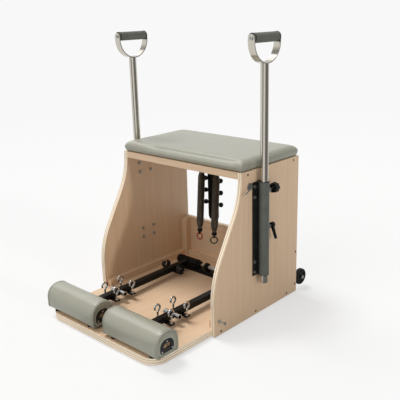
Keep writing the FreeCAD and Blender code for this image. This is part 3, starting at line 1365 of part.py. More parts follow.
def make_clamps():
    """The star knobs and the clamp levers that lock the poles."""
    y_knob = y_pole + s.knob_reach
    knob = [round_bar("knob_core", s.knob_core_radius, s.knob_length, x_pole, y_knob, z_knob, ALONG_Y)]
    for index in range(KNOB_LOBES):
        angle = 2 * math.pi * index / KNOB_LOBES
        x = x_pole + s.knob_lobe_circle * math.cos(angle)
        z = z_knob + s.knob_lobe_circle * math.sin(angle)
        knob.append(round_bar(f"knob_lobe{index}", s.knob_lobe_radius, s.knob_length, x, y_knob, z, ALONG_Y))
    knob.append(clamp_stud("knob_stud", s.knob_reach, z_knob))
    publish_pair("clamp_knob", fuse("clamp_knob", knob))

    y_hub = y_pole + s.lever_reach
    hub = round_bar("lever_hub", s.lever_hub_radius, s.lever_hub_length, x_pole, y_hub, z_lever, ALONG_Y)
    lean = Rotation(Vector(1, 0, 0), 180 + float(s.lever_lean))
    arm = doc.addObject("Part::Cone", "lever_arm")
    bind(arm, Radius1=s.lever_root_radius, Radius2=s.lever_tip_radius, Height=s.lever_length)
    y_root = y_hub + s.lever_hub_length / 2
    place(arm, x_pole, y_root, z_lever, lean)
    tip = doc.addObject("Part::Sphere", "lever_tip")
    bind(tip, Radius=s.lever_tip_radius)
    lean_angle = math.radians(float(s.lever_lean))
    y_tip = y_root + s.lever_length * math.sin(lean_angle)
    z_tip = z_lever - s.lever_length * math.cos(lean_angle)
    place(tip, x_pole, y_tip, z_tip)
    stud = clamp_stud("lever_stud", s.lever_reach, z_lever)
    publish_pair("clamp_lever", fuse("clamp_lever", [hub, arm, tip, stud]))


def check():
    """Stops the build if any object failed or any sub-part is empty or invalid."""
    for item in doc.Objects:
        if "Invalid" in item.State or "Error" in item.State:
            raise RuntimeError(f"{item.Name} failed: {item.State}")
    for name, item in pieces.items():
        shape = item.Shape
        if shape.isNull() or not shape.isValid() or not shape.Solids:
            raise RuntimeError(f"{name} has no valid solid")


def export():
    """Writes each sub-part to its own file."""
    os.makedirs("parts", exist_ok=True)
    for name, item in pieces.items():
        item.Shape.exportStep(f"parts/{name}.step")


screw_set = make_screws()
bolt_set, nut_set = make_bolts()
spool_fixing = spool_shank()
make_carcass(screw_set, bolt_set, spool_fixing)
make_cushion()
make_feet()
make_pivot()
make_tree(screw_set)
spring_coil = coil_solid()
for spring_side in SIDES:
    make_spring(spring_side, spring_coil)
make_housings(bolt_set)
make_strap_anchors(spool_fixing)
make_wheels(screw_set)
make_pedals()
make_handles()
make_clamps()
publish("wood_screws", screw_set)
publish("housing_bolts", bolt_set)
publish("housing_nuts", nut_set)
doc.recompute()
check()
export()
print(len(pieces), "sub-parts written")
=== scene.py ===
import json
import math

import bpy
import numpy as np
from mathutils import Matrix, Vector, noise


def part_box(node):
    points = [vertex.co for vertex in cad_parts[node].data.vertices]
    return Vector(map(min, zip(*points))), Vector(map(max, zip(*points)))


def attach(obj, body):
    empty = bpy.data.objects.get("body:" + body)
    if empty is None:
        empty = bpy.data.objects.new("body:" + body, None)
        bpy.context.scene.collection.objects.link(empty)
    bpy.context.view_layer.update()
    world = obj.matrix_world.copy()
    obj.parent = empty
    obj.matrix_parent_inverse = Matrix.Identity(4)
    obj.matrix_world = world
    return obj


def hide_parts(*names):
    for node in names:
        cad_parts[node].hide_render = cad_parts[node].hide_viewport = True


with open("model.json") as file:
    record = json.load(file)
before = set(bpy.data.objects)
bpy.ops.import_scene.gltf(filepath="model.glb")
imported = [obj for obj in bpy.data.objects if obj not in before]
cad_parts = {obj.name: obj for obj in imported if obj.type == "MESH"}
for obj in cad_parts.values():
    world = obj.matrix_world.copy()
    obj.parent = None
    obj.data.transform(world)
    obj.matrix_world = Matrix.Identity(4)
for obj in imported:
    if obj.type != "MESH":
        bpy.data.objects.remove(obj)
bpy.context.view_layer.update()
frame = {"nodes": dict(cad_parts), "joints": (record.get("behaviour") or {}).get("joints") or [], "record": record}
nodes = frame["nodes"]
scene = bpy.context.scene
MM = 0.001
SIDES = ("left", "right")
AXES = {"X": 0, "Y": 1, "Z": 2}


def joint_place(name):
    """Where a joint of the frame stands."""
    return Vector(next(joint["pos_m"] for joint in frame["joints"] if joint["name"] == name))


# Shader helpers

# Sockets of a colour mix: its factor, its two colours and its result.
MIX = {"factor": 0, "first": 6, "second": 7, "result": 2}
# A wave texture of scale 1 repeats after this length, and its diagonal bands after twice as much.
WAVE_SPAN = math.pi / 10


def linear(code):
    """An sRGB hex colour as linear RGBA."""
    channels = [int(code[start:start + 2], 16) / 255 for start in (1, 3, 5)]
    return tuple(c / 12.92 if c <= 0.04045 else ((c + 0.055) / 1.055) ** 2.4 for c in channels) + (1.0,)


def add_node(tree, kind, settings=None, values=None, links=None):
    """Adds a shader node: settings are its properties, values its plain inputs, links its linked inputs.
    Gives its outputs."""
    node = tree.nodes.new("ShaderNode" + kind)
    for name, value in (settings or {}).items():
        setattr(node, name, value)
    for name, value in (values or {}).items():
        node.inputs[name].default_value = value
    for name, socket in (links or {}).items():
        tree.links.new(socket, node.inputs[name])
    return node.outputs


def new_material(name, values):
    """A material whose principled shader has its plain sockets set. Gives the material, its node tree, the
    shader and the place on the object."""
    material = bpy.data.materials.new(name)
    material.use_nodes = True
    tree = material.node_tree
    shader = tree.nodes["Principled BSDF"]
    for socket, value in values.items():
        shader.inputs[socket].default_value = value
    place = add_node(tree, "TexCoord")["Object"]
    return material, tree, shader, place


def link_shader(tree, shader, links):
    """Links sockets to the principled shader."""
    for name, socket in links.items():
        tree.links.new(socket, shader.inputs[name])


def two_tones(tree, shader, tone, dark, pale, gloss, roughness):
    """Lets one pattern set a finish's colour, between two tones, and one its roughness."""
    colour = add_node(tree, "Mix", {"data_type": "RGBA"},
                      {MIX["first"]: linear(dark), MIX["second"]: linear(pale)}, {MIX["factor"]: tone})
    rough = add_node(tree, "MapRange", values={"To Min": roughness[0], "To Max": roughness[1]},
                     links={"Value": gloss})
    link_shader(tree, shader, {"Base Color": colour[MIX["result"]], "Roughness": rough[0]})


# Plywood

VENEER_PALE = "#E3C6A7"
VENEER_WARM = "#D7B795"
VENEER_FLECK = "#B5936F"
VENEER_STREAK = 3.2 * MM
VENEER_STREAK_RUN = 260 * MM
VENEER_BAND = 24 * MM
VENEER_BAND_RUN = 900 * MM
VENEER_BAND_SHARE = 0.35
VENEER_FLECK_WIDTH = 1.1 * MM
VENEER_FLECK_RUN = 16 * MM
VENEER_FLECK_SHARE = 0.4
VENEER_RELIEF = 0.02 * MM


def along_grain(grain, width, run):
    """Mapping scales for a pattern of one width across the grain and one run along it."""
    scales = [1 / width] * 3
    scales[AXES[grain]] = 1 / run
    return scales


def lacquered_maple(grain):
    """Sliced maple veneer, sanded and lacquered: pale, with fine straight streaks, faint wider bands and
    short dark flecks along the grain, under a thin satin film that gives soft reflections."""
    values = {"Coat Weight": 0.2, "Coat Roughness": 0.3, "Specular IOR Level": 0.35}
    material, tree, shader, place = new_material(f"lacquered_maple_grain_{grain.lower()}", values)
    patterns = {}
    for name, width, run, detail in (
        ("streak", VENEER_STREAK, VENEER_STREAK_RUN, 4.0),
        ("band", VENEER_BAND, VENEER_BAND_RUN, 2.0),
        ("fleck", VENEER_FLECK_WIDTH, VENEER_FLECK_RUN, 1.0),
    ):
        scaled = add_node(tree, "Mapping", values={"Scale": along_grain(grain, width, run)},
                          links={"Vector": place})
        texture = add_node(tree, "TexNoise", values={"Scale": 1.0, "Detail": detail},
                           links={"Vector": scaled[0]})
        patterns[name] = texture[0]
    both = add_node(tree, "Math", {"operation": "MULTIPLY_ADD"}, {1: VENEER_BAND_SHARE},
                    {0: patterns["band"], 2: patterns["streak"]})
    tone = add_node(tree, "MapRange", values={"From Min": 0.45, "From Max": 0.9}, links={"Value": both[0]})
    wood = add_node(tree, "Mix", {"data_type": "RGBA"},
                    {MIX["first"]: linear(VENEER_WARM), MIX["second"]: linear(VENEER_PALE)},
                    {MIX["factor"]: tone[0]})
    flecks = add_node(tree, "MapRange",
                      values={"From Min": 0.68, "From Max": 0.82, "To Max": VENEER_FLECK_SHARE},
                      links={"Value": patterns["fleck"]})
    flecked = add_node(tree, "Mix", {"data_type": "RGBA"}, {MIX["second"]: linear(VENEER_FLECK)},
                       {MIX["factor"]: flecks[0], MIX["first"]: wood[MIX["result"]]})
    gloss = add_node(tree, "MapRange", values={"To Min": 0.36, "To Max": 0.52},
                     links={"Value": patterns["streak"]})
    relief = add_node(tree, "Bump", values={"Strength": 0.6, "Distance": VENEER_RELIEF},
                      links={"Height": patterns["streak"]})
    links = {"Base Color": flecked[MIX["result"]], "Roughness": gloss[0], "Normal": relief[0]}
    link_shader(tree, shader, links)
    return material


PLY_PALE = "#FAEEDA"
PLY_TAN = "#DFC4A0"
PLY_GLUE = "#BC966C"
# Two plies together, drawn about three times as thick as real ones, so that they show.
PLY_PAIR = 9 * MM
PLY_TAN_FROM = 0.31
PLY_GLUE_SHARE = 0.05
PLY_GRAIN = 1.2 * MM
PLY_SPECK_SHARE = 0.3


def plywood_edge(layers):
    """A sawn and sanded plywood edge: cream long-grain plies beside tan end-grain plies, with thin dark
    glue lines between them, drier and duller than the faces."""
    values = {"Coat Weight": 0.15, "Coat Roughness": 0.35}
    material, tree, shader, place = new_material(f"plywood_edge_layers_{layers.lower()}", values)
    depth = add_node(tree, "SeparateXYZ", links={0: place})[AXES[layers]]
    pair = add_node(tree, "Math", {"operation": "MULTIPLY"}, {1: 1 / PLY_PAIR}, {0: depth})
    swing = add_node(tree, "Math", {"operation": "PINGPONG"}, {1: 0.5}, {0: pair[0]})
    tan_ply = add_node(tree, "Math", {"operation": "GREATER_THAN"}, {1: PLY_TAN_FROM}, {0: swing[0]})
    glue = add_node(tree, "Math", {"operation": "COMPARE"}, {1: PLY_TAN_FROM, 2: PLY_GLUE_SHARE / 2},
                    {0: swing[0]})
    grain = add_node(tree, "TexNoise", values={"Scale": 1 / PLY_GRAIN, "Detail": 3.0},
                     links={"Vector": place})
    speck = add_node(tree, "MapRange",
                     values={"From Min": 0.45, "From Max": 0.75, "To Max": PLY_SPECK_SHARE},
                     links={"Value": grain[0]})
    plies = add_node(tree, "Mix", {"data_type": "RGBA"},
                     {MIX["first"]: linear(PLY_PALE), MIX["second"]: linear(PLY_TAN)},
                     {MIX["factor"]: tan_ply[0]})
    grained_plies = add_node(tree, "Mix", {"data_type": "RGBA"}, {MIX["second"]: linear(PLY_TAN)},
                             {MIX["factor"]: speck[0], MIX["first"]: plies[MIX["result"]]})
    lined = add_node(tree, "Mix", {"data_type": "RGBA"}, {MIX["second"]: linear(PLY_GLUE)},
                     {MIX["factor"]: glue[0], MIX["first"]: grained_plies[MIX["result"]]})
    gloss = add_node(tree, "MapRange", values={"To Min": 0.5, "To Max": 0.7}, links={"Value": grain[0]})
    link_shader(tree, shader, {"Base Color": lined[MIX["result"]], "Roughness": gloss[0]})
    return material


CORE_BROWN = "#A08163"
CORE_DARK = "#705643"
# The core's growth rings are drawn some five times as wide as real ones, so that they show.
CORE_RING = 20.1 * MM


def oiled_hardwood_end():
    """Oiled brown hardwood seen on its end: wavering dark rings, nearly matt."""
    values = {"Specular IOR Level": 0.35}
    material, tree, shader, place = new_material("oiled_hardwood_end_grain", values)
    rings = add_node(tree, "TexWave", {"wave_type": "RINGS", "rings_direction": "X"},
                     {"Scale": WAVE_SPAN / CORE_RING, "Distortion": 6.0, "Detail": 3.0, "Detail Scale": 2.0},
                     {"Vector": place})
    two_tones(tree, shader, rings["Fac"], CORE_DARK, CORE_BROWN, rings["Fac"], roughness=(0.5, 0.7))
    return material


# Upholstery

VINYL_GREY = "#9B9A8A"
# The darker tone, for the random mottle and for painted shade in the pebbles' creases.
VINYL_MOTTLE_AND_CREASE_SHADE = "#908F80"
VINYL_PEBBLE = 1.5 * MM
VINYL_PEBBLE_SLOPE = 0.22
VINYL_CREASE_SHADE_SHARE = 0.4
VINYL_MOTTLE = 60 * MM
VINYL_RELIEF = 0.05 * MM


def embossed_vinyl():
    """Grey-green upholstery vinyl, rolled with a leather grain: fine pebbles with painted shade in the creases
    between them, very little mottling and a soft glossy top coat that lights up at a low angle."""
    values = {"Specular IOR Level": 0.5, "Coat Weight": 0.45, "Coat Roughness": 0.3}
    material, tree, shader, place = new_material("embossed_upholstery_vinyl", values)
    pebbles = add_node(tree, "TexVoronoi", {"feature": "DISTANCE_TO_EDGE"},
                       {"Scale": 1 / VINYL_PEBBLE}, {"Vector": place})
    raised = add_node(tree, "MapRange", values={"From Max": VINYL_PEBBLE_SLOPE}, links={"Value": pebbles[0]})
    mottle = add_node(tree, "TexNoise", values={"Scale": 1 / VINYL_MOTTLE, "Detail": 3.0},
                      links={"Vector": place})
    # Painted shade: the tone darkens in the creases between pebbles, over a random mottle.
    shade = add_node(tree, "Math", {"operation": "MULTIPLY_ADD", "use_clamp": True},
                     {1: VINYL_CREASE_SHADE_SHARE}, {0: raised[0], 2: mottle[0]})
    two_tones(tree, shader, shade[0], VINYL_MOTTLE_AND_CREASE_SHADE, VINYL_GREY, raised[0], roughness=(0.5, 0.4))
    relief = add_node(tree, "Bump", values={"Strength": 0.6, "Distance": VINYL_RELIEF},
                      links={"Height": raised[0]})
    link_shader(tree, shader, {"Normal": relief[0]})
    return material


THREAD_GREY = "#8A897B"
THREAD_GROOVE_SHADE = "#6E6D62"
# The twist's bands of painted shade along the thread, drawn far coarser than real ones, so that they show.
THREAD_LAY = 7.54 * MM


def twisted_thread():
    """Bonded polyester sewing thread: slanted bands of painted shade in the grooves where its strands twist, with
    a dry sheen.
    """
    values = {"Roughness": 0.6, "Sheen Weight": 0.2}
    material, tree, shader, place = new_material("twisted_polyester_thread", values)
    lay = add_node(tree, "TexWave", {"bands_direction": "DIAGONAL"},
                   {"Scale": 2 * WAVE_SPAN / THREAD_LAY}, {"Vector": place})
    # Painted shade: the darker tone marks the grooves between the twisted strands.
    colour = add_node(tree, "Mix", {"data_type": "RGBA"},
                      {MIX["first"]: linear(THREAD_GROOVE_SHADE), MIX["second"]: linear(THREAD_GREY)},
                      {MIX["factor"]: lay["Fac"]})
    link_shader(tree, shader, {"Base Color": colour[MIX["result"]]})
    return material


# Coats, plastics and rubbers share one build: two close tones and a fine relief.

WEAR_SPAN = 40


def grained(name, dark, pale, grain, relief, roughness, values):
    """A finish of two close tones whose grain, in metres, gives its relief. Wear, in patches many grains
    wide, drifts over its tone and its gloss."""
    material, tree, shader, place = new_material(name, values)
    texture = add_node(tree, "TexNoise", values={"Scale": 1 / grain, "Detail": 3.0}, links={"Vector": place})
    wear = add_node(tree, "TexNoise", values={"Scale": 1 / (WEAR_SPAN * grain), "Detail": 2.0},
                    links={"Vector": place})
    tone = add_node(tree, "Math", {"operation": "MULTIPLY"}, links={0: texture[0], 1: wear[0]})
    spread = add_node(tree, "MapRange", values={"From Min": 0.12, "From Max": 0.4}, links={"Value": tone[0]})
    two_tones(tree, shader, spread[0], dark, pale, wear[0], roughness)
    bump = add_node(tree, "Bump", values={"Strength": 0.8, "Distance": relief}, links={"Height": texture[0]})
    link_shader(tree, shader, {"Normal": bump[0]})
    return material


def black_powder_coat():
    """Black polyester powder baked on steel: fine orange peel, satin, with soft broad highlights."""
    return grained("powder_coated_steel_black", "#0B0B0A", "#141413", grain=1.1 * MM, relief=0.03 * MM,
                   roughness=(0.34, 0.46), values={"Specular IOR Level": 0.14})


def brightened_black_powder_coat():
    """The black polyester powder on the housing brackets, painted a shade lighter and cooler than on the other
    black steel, as painted light.
    """
    return grained("powder_coated_steel_black_brightened", "#191B19", "#272A27", grain=1.1 * MM, relief=0.03 * MM,
                   roughness=(0.36, 0.48), values={"Specular IOR Level": 0.3})


def grey_powder_coat():
    """Dark grey textured powder on the housing tubes: a finer, duller orange peel than the black one."""
    return grained("powder_coated_steel_grey", "#585B55", "#666963", grain=0.8 * MM, relief=0.04 * MM,
                   roughness=(0.42, 0.56), values={"Specular IOR Level": 0.4})


def black_oxide():
    """Blackened screw steel: dark, oily and a little brown, with patchy wear."""
    return grained("black_oxide_steel", "#1B1815", "#332C26", grain=0.6 * MM, relief=0.02 * MM,
                   roughness=(0.3, 0.5), values={"Metallic": 0.6, "Specular IOR Level": 0.4})


def moulded_nylon():
    """Black glass-filled nylon from a spark-eroded mould: an even dull grain."""
    return grained("moulded_nylon_black", "#0E0E0E", "#191918", grain=0.7 * MM, relief=0.03 * MM,
                   roughness=(0.45, 0.6), values={"Specular IOR Level": 0.35})


def moulded_rubber():
    """Black rubber feet and bumpers: matt, with a grey bloom."""
    return grained("moulded_rubber_black", "#151515", "#262625", grain=1.2 * MM, relief=0.05 * MM,
                   roughness=(0.65, 0.85), values={"Specular IOR Level": 0.25})


def tyre_rubber():
    """Black wheel rubber with dusty, scuffed wear."""
    return grained("rolled_wheel_rubber", "#161615", "#2B2A28", grain=2 * MM, relief=0.08 * MM,
                   roughness=(0.6, 0.85), values={"Specular IOR Level": 0.25})


def foam_grip():
    """Closed-cell grey foam rubber, ground round: a fine open grain with no shine."""
    return grained("ground_foam_rubber_grey", "#5C5E56", "#6E7068", grain=0.9 * MM, relief=0.12 * MM,
                   roughness=(0.75, 0.9), values={"Specular IOR Level": 0.2, "Sheen Weight": 0.1})


def coated_spring_wire():
    """Spring wire under a thin electro-coat: dull dark brown-grey with a faint metal shine."""
    return grained("electro_coated_spring_wire", "#3E3932", "#5C554B", grain=0.8 * MM, relief=0.015 * MM,
                   roughness=(0.38, 0.5), values={"Metallic": 0.25, "Specular IOR Level": 0.3})


def dipped_ring(name, dark, pale):
    """A steel ring dipped in coloured vinyl: thick, smooth and softly glossy."""
    return grained(name, dark, pale, grain=3 * MM, relief=0.03 * MM, roughness=(0.28, 0.4),
                   values={"Specular IOR Level": 0.5})


def shadow_line_cloth():
    """Black cloth under the cushion, a dark sheet that paints the shadow line along its foot: matt and fibrous."""
    return grained("black_shadow_line_cloth", "#0F0F0F", "#1C1C1B", grain=0.5 * MM, relief=0.1 * MM,
                   roughness=(0.85, 0.95), values={"Specular IOR Level": 0.1})


# Bare metals

STAINLESS_GREY = "#B9B3A8"
STAINLESS_PALE = "#DBD5CA"
GRINDING_LINE = 0.7 * MM
GRINDING_RUN = 60 * MM
GRINDING_RELIEF = 0.01 * MM


def brushed_stainless():
    """Stainless tube and strap, belt-ground along their length: fine lines that stretch each highlight,
    on a slightly warm grey."""
    material, tree, shader, place = new_material("brushed_stainless_steel", {"Metallic": 1.0})
    scaled = add_node(tree, "Mapping", values={"Scale": along_grain("Z", GRINDING_LINE, GRINDING_RUN)},
                      links={"Vector": place})
    lines = add_node(tree, "TexNoise", values={"Scale": 1.0, "Detail": 4.0}, links={"Vector": scaled[0]})
    two_tones(tree, shader, lines[0], STAINLESS_GREY, STAINLESS_PALE, lines[0], roughness=(0.12, 0.24))
    relief = add_node(tree, "Bump", values={"Strength": 0.5, "Distance": GRINDING_RELIEF},
                      links={"Height": lines[0]})
    link_shader(tree, shader, {"Normal": relief[0]})
    return material


def plated(name, dark, pale, smear, roughness):
    """A plated metal whose tone and gloss drift over a smear, in metres."""
    material, tree, shader, place = new_material(name, {"Metallic": 1.0})
    drift = add_node(tree, "TexNoise", values={"Scale": 1 / smear, "Detail": 4.0}, links={"Vector": place})
    two_tones(tree, shader, drift[0], dark, pale, drift[0], roughness)
    return material


def chrome_plate():
    """Bright chrome on the hooks, sleeves and axle: a cool mirror with faint hand smears."""
    return plated("chrome_plated_steel", "#A6A8A8", "#C6C7C6", smear=18 * MM, roughness=(0.06, 0.16))


def zinc_plate():
    """Zinc on bolts, nuts and pegs: a pale satin grey with a mottled crystal, too dull to mirror."""
    return plated("zinc_plated_steel", "#A9ABAA", "#CDCDCA", smear=4 * MM, roughness=(0.34, 0.48))


# Mesh helpers

SHARP_EDGE = math.radians(50)
EASE_STEPS = 4


def new_piece(name, shell, material, body):
    """A smooth piece with sharp corners, from points and faces, that rides on a body and takes a material."""
    points, faces = shell
    mesh = bpy.data.meshes.new(name)
    mesh.from_pydata([tuple(point) for point in points], [], faces)
    mesh.materials.append(material)
    mesh.polygons.foreach_set("use_smooth", [True] * len(mesh.polygons))
    mesh.set_sharp_from_angle(angle=SHARP_EDGE)
    piece = bpy.data.objects.new(name, mesh)
    scene.collection.objects.link(piece)
    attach(piece, body)
    return piece


def skin(rings, closed=False):
    """Points and faces over equal rings of points; open ends are capped, closed ones meet."""
    count = len(rings[0])
    faces = []
    for index in range(len(rings) if closed else len(rings) - 1):
        here = index * count
        following = (index + 1) % len(rings) * count
        for spot in range(count):
            beside = (spot + 1) % count
            faces.append((here + spot, here + beside, following + beside, following + spot))
    if not closed:
        last = (len(rings) - 1) * count
        faces.append(tuple(reversed(range(count))))
        faces.append(tuple(range(last, last + count)))
    return [point for ring in rings for point in ring], faces


def joined(shells):
    """Several shells as one."""
    points = []
    faces = []
    for shell_points, shell_faces in shells:
        start = len(points)
        points += shell_points
        faces += [tuple(start + corner for corner in face) for face in shell_faces]
    return points, faces


def moved(shell, matrix):
    """A shell carried by a matrix."""
    return [matrix @ Vector(point) for point in shell[0]], shell[1]


def full_turn(sides):
    """Equal angles round a full turn."""
    return [2 * math.pi * side / sides for side in range(sides)]


def quarter_turn(steps):
    """Equal angles over a quarter turn, both ends among them."""
    return [math.pi / 2 * step / steps for step in range(steps + 1)]


def smooth_step(values, start, end):
    """0 up to a start, 1 from an end on, and a smooth rise between them."""
    share = np.clip((values - start) / (end - start), 0, 1)
    return share * share * (3 - 2 * share)


def wire(path, radius, sides):
    """A round wire along a path of points."""
    rings = []
    turns = full_turn(sides)
    across = (path[1] - path[0]).orthogonal().normalized()
    for index, point in enumerate(path):
        heading = (path[min(index + 1, len(path) - 1)] - path[max(index - 1, 0)]).normalized()
        across = (across - heading * across.dot(heading)).normalized()
        other = heading.cross(across)
        rings.append([point + (across * math.cos(t) + other * math.sin(t)) * radius for t in turns])
    return skin(rings)


def lathed(profile, sides, hollow=False):
    """A profile of (distance along Z, radius) points turned about Z; a hollow profile is a closed loop."""
    turns = full_turn(sides)
    if hollow:
        loops = [[Vector((r * math.cos(t), r * math.sin(t), z)) for z, r in profile] for t in turns]
        return skin(loops, closed=True)
    return skin([[Vector((r * math.cos(t), r * math.sin(t), z)) for t in turns] for z, r in profile])


def eased(low, high, radius, ease):
    """The profile of a disc whose two edges are rounded over."""
    quarter = quarter_turn(EASE_STEPS)
    lower = [(low + ease * (1 - math.sin(a)), radius - ease * (1 - math.cos(a))) for a in reversed(quarter)]
    upper = [(high - ease * (1 - math.sin(a)), radius - ease * (1 - math.cos(a))) for a in quarter]
    return lower + upper


def rounded_corners(corners, steps):
    """Points round a convex outline of (x, y, radius) corners, given counter-clockwise."""
    points = []
    for index, (x, y, radius) in enumerate(corners):
        here = Vector((x, y))
        before = (here - Vector(corners[index - 1][:2])).normalized()
        after = (Vector(corners[(index + 1) % len(corners)][:2]) - here).normalized()
        centre = here + (after - before) * radius
        start = math.atan2(-after.y, -after.x)
        turn = before.angle(after)
        for step in range(steps + 1):
            angle = start + turn * step / steps
            points.append(centre + Vector((math.cos(angle), math.sin(angle))) * radius)
    return points


def level_ring(low, high, inset, radius, steps, height):
    """A level ring of points round a box, drawn in by an inset and rounded at its corners."""
    corners = [
        (low.x + inset, low.y + inset, radius), (high.x - inset, low.y + inset, radius),
        (high.x - inset, high.y - inset, radius), (low.x + inset, high.y - inset, radius),
    ]
    return [Vector((x, y, height)) for x, y in rounded_corners(corners, steps)]


# Padded pieces

VOXEL = 4 * MM
SWELL_FRAMES = 20
SWELL_PRESSURE = 4.0
TINY = 1e-9


def even(piece):
    """Remeshes a closed piece evenly."""
    remesh = piece.modifiers.new("even", "REMESH")
    remesh.mode = "VOXEL"
    remesh.voxel_size = VOXEL
    bake_modifiers(piece)


def swell(piece, cap, held=()):
    """Lets cloth under pressure swell a closed piece, each point by a cap at most and held points not at
    all, and then divides its faces once."""
    start = read_rows(piece, "co")
    group = piece.vertex_groups.new(name="held")
    group.add([int(index) for index in held], 1.0, "REPLACE")
    cloth = piece.modifiers.new("swell", "CLOTH")
    cloth.settings.use_pressure = True
    cloth.settings.uniform_pressure_force = SWELL_PRESSURE
    cloth.settings.effector_weights.gravity = 0
    cloth.settings.vertex_group_mass = group.name
    for number in range(1, SWELL_FRAMES + 1):
        scene.frame_set(number)
    bake_modifiers(piece)
    scene.frame_set(1)
    piece.vertex_groups.clear()
    shift = read_rows(piece, "co") - start
    length = np.linalg.norm(shift, axis=1, keepdims=True)
    write_points(piece, start + shift * np.minimum(1, cap / np.maximum(length, TINY)))
    finer = piece.modifiers.new("finer", "SUBSURF")
    finer.levels = 1
    bake_modifiers(piece)


def bake_modifiers(piece):
    """Applies a piece's modifiers to its mesh."""
    graph = bpy.context.evaluated_depsgraph_get()
    mesh = bpy.data.meshes.new_from_object(piece.evaluated_get(graph))
    piece.modifiers.clear()
    piece.data = mesh
    mesh.polygons.foreach_set("use_smooth", [True] * len(mesh.polygons))


def read_rows(piece, field):
    """A piece's points, for the field co, or their normals, for the field normal, as rows of an array."""
    flat = np.empty(len(piece.data.vertices) * 3, np.float32)
    piece.data.vertices.foreach_get(field, flat)
    return flat.reshape(-1, 3).astype(float)


def write_points(piece, points):
    """Sets a piece's points from rows of an array."""
    piece.data.vertices.foreach_set("co", points.astype(np.float32).ravel())
    piece.data.update()


def press_line(piece, path, depth, width):
    """Presses a soft groove along a path, which runs out towards the path's end."""
    points = read_rows(piece, "co")
    path = [np.array(point) for point in path]
    nearest = np.full(len(points), np.inf)
    share = np.zeros(len(points))
    for index, (start, end) in enumerate(zip(path, path[1:])):
        run = end - start
        along = np.clip((points - start) @ run / (run @ run), 0, 1)
        away = np.linalg.norm(points - start - along[:, None] * run, axis=1)
        closer = away < nearest
        nearest[closer] = away[closer]
        share[closer] = (index + along[closer]) / (len(path) - 1)
    push = depth * np.exp(-(nearest / width) ** 2) * (1 - share ** 2)
    write_points(piece, points - read_rows(piece, "normal") * push[:, None])


def on_surface(piece, point):
    """The nearest spot on a piece, and the way out of it."""
    _, spot, out, _ = piece.closest_point_on_mesh(Vector(point))
    return spot, out


def ripple(piece, height, span):
    """Gives a piece the slight unevenness of foam under a stretched cover."""
    points = read_rows(piece, "co")
    lift = np.array([noise.noise(Vector(point) / span) for point in points])
    write_points(piece, points + read_rows(piece, "normal") * (lift * height)[:, None])


# Seat cushion

# Ring heights, insets and corner radii, from its foot to its crown, in millimetres.
CUSHION_RINGS = [
    (0.6, 6, 8), (2.6, 4, 9), (6, 1.6, 10), (11, -0.8, 11), (17, -2, 12), (23, -1.6, 13), (29, 0.6, 14),
    (33.5, 4, 16), (37, 8.5, 19), (39.6, 14, 24), (41, 22, 30), (41.5, 40, 34), (41.8, 70, 40),
]
CUSHION_CORNER_STEPS = 8
CUSHION_FOOT = 0.6 * MM
CUSHION_CAP = 1.2 * MM
CUSHION_OVERHANG = 3 * MM
CUSHION_RIPPLE = 0.4 * MM
CUSHION_RIPPLE_SPAN = 90 * MM
PLEAT_FOOT = 2 * MM
PLEAT_DEPTH = 1.2 * MM
PLEAT_WIDTH = 2.2 * MM
PLEAT_RUN = 32 * MM
PLEAT_STEPS = 12
PLEAT_SPREAD = math.radians(20)
CREASE_SETBACK = 14 * MM
CREASE_DEPTH = 9.5 * MM
CREASE_BACK = 9 * MM
CREASE_LIP = 1.2 * MM
CREASE_FRONT = 3 * MM
# How high above its foot the cover gives way to the crease, and how far from its left and right ends.
CREASE_HEIGHTS = (10 * MM, 34 * MM)
CREASE_LEFT = (50 * MM, 210 * MM)
CREASE_RIGHT = (8 * MM, 56 * MM)
# The black sheet's ring heights and insets; the sheet paints the shadow line along the cushion's foot.
SHADOW_LINE_RINGS = ((0.1 * MM, 10 * MM), (0.5 * MM, 9 * MM), (2.2 * MM, 9 * MM))
SHADOW_LINE_CORNER = 6 * MM
SHADOW_LINE_STEPS = 6


def crease_front(cushion, low, high):
    """Presses the crease behind the cover's front roll, which lies lower than the crown. It runs out at
    both ends."""
    points = read_rows(cushion, "co")
    behind = points[:, 1] - low.y - CREASE_SETBACK
    deep = CREASE_DEPTH * np.exp(-(behind / CREASE_BACK) ** 2)
    rolled = CREASE_DEPTH - CREASE_LIP * (1 - np.exp(-(behind / CREASE_FRONT) ** 2))
    upper = smooth_step(points[:, 2] - low.z, *CREASE_HEIGHTS)
    left_end = smooth_step(points[:, 0] - low.x, *CREASE_LEFT)
    right_end = smooth_step(high.x - points[:, 0], *CREASE_RIGHT)
    points[:, 2] -= np.where(behind > 0, deep, rolled) * upper * left_end * right_end
    write_points(cushion, points)


def pleat_corners(cushion, low, high):
    """Presses two pleats into each corner of the cover, from its foot up."""
    for x, inward_x in ((low.x, 1), (high.x, -1)):
        for y, inward_y in ((low.y, 1), (high.y, -1)):
            foot = Vector((x, y, low.z + PLEAT_FOOT))
            for lean in (-1, 1):
                angle = math.pi / 4 + lean * PLEAT_SPREAD
                run = Vector((inward_x * math.cos(angle), inward_y * math.sin(angle), 0)) * PLEAT_RUN
                top = Vector((x, y, high.z)) + run
                line = [foot.lerp(top, step / PLEAT_STEPS) for step in range(PLEAT_STEPS + 1)]
                path = [on_surface(cushion, point)[0] for point in line]
                press_line(cushion, path, PLEAT_DEPTH, PLEAT_WIDTH)


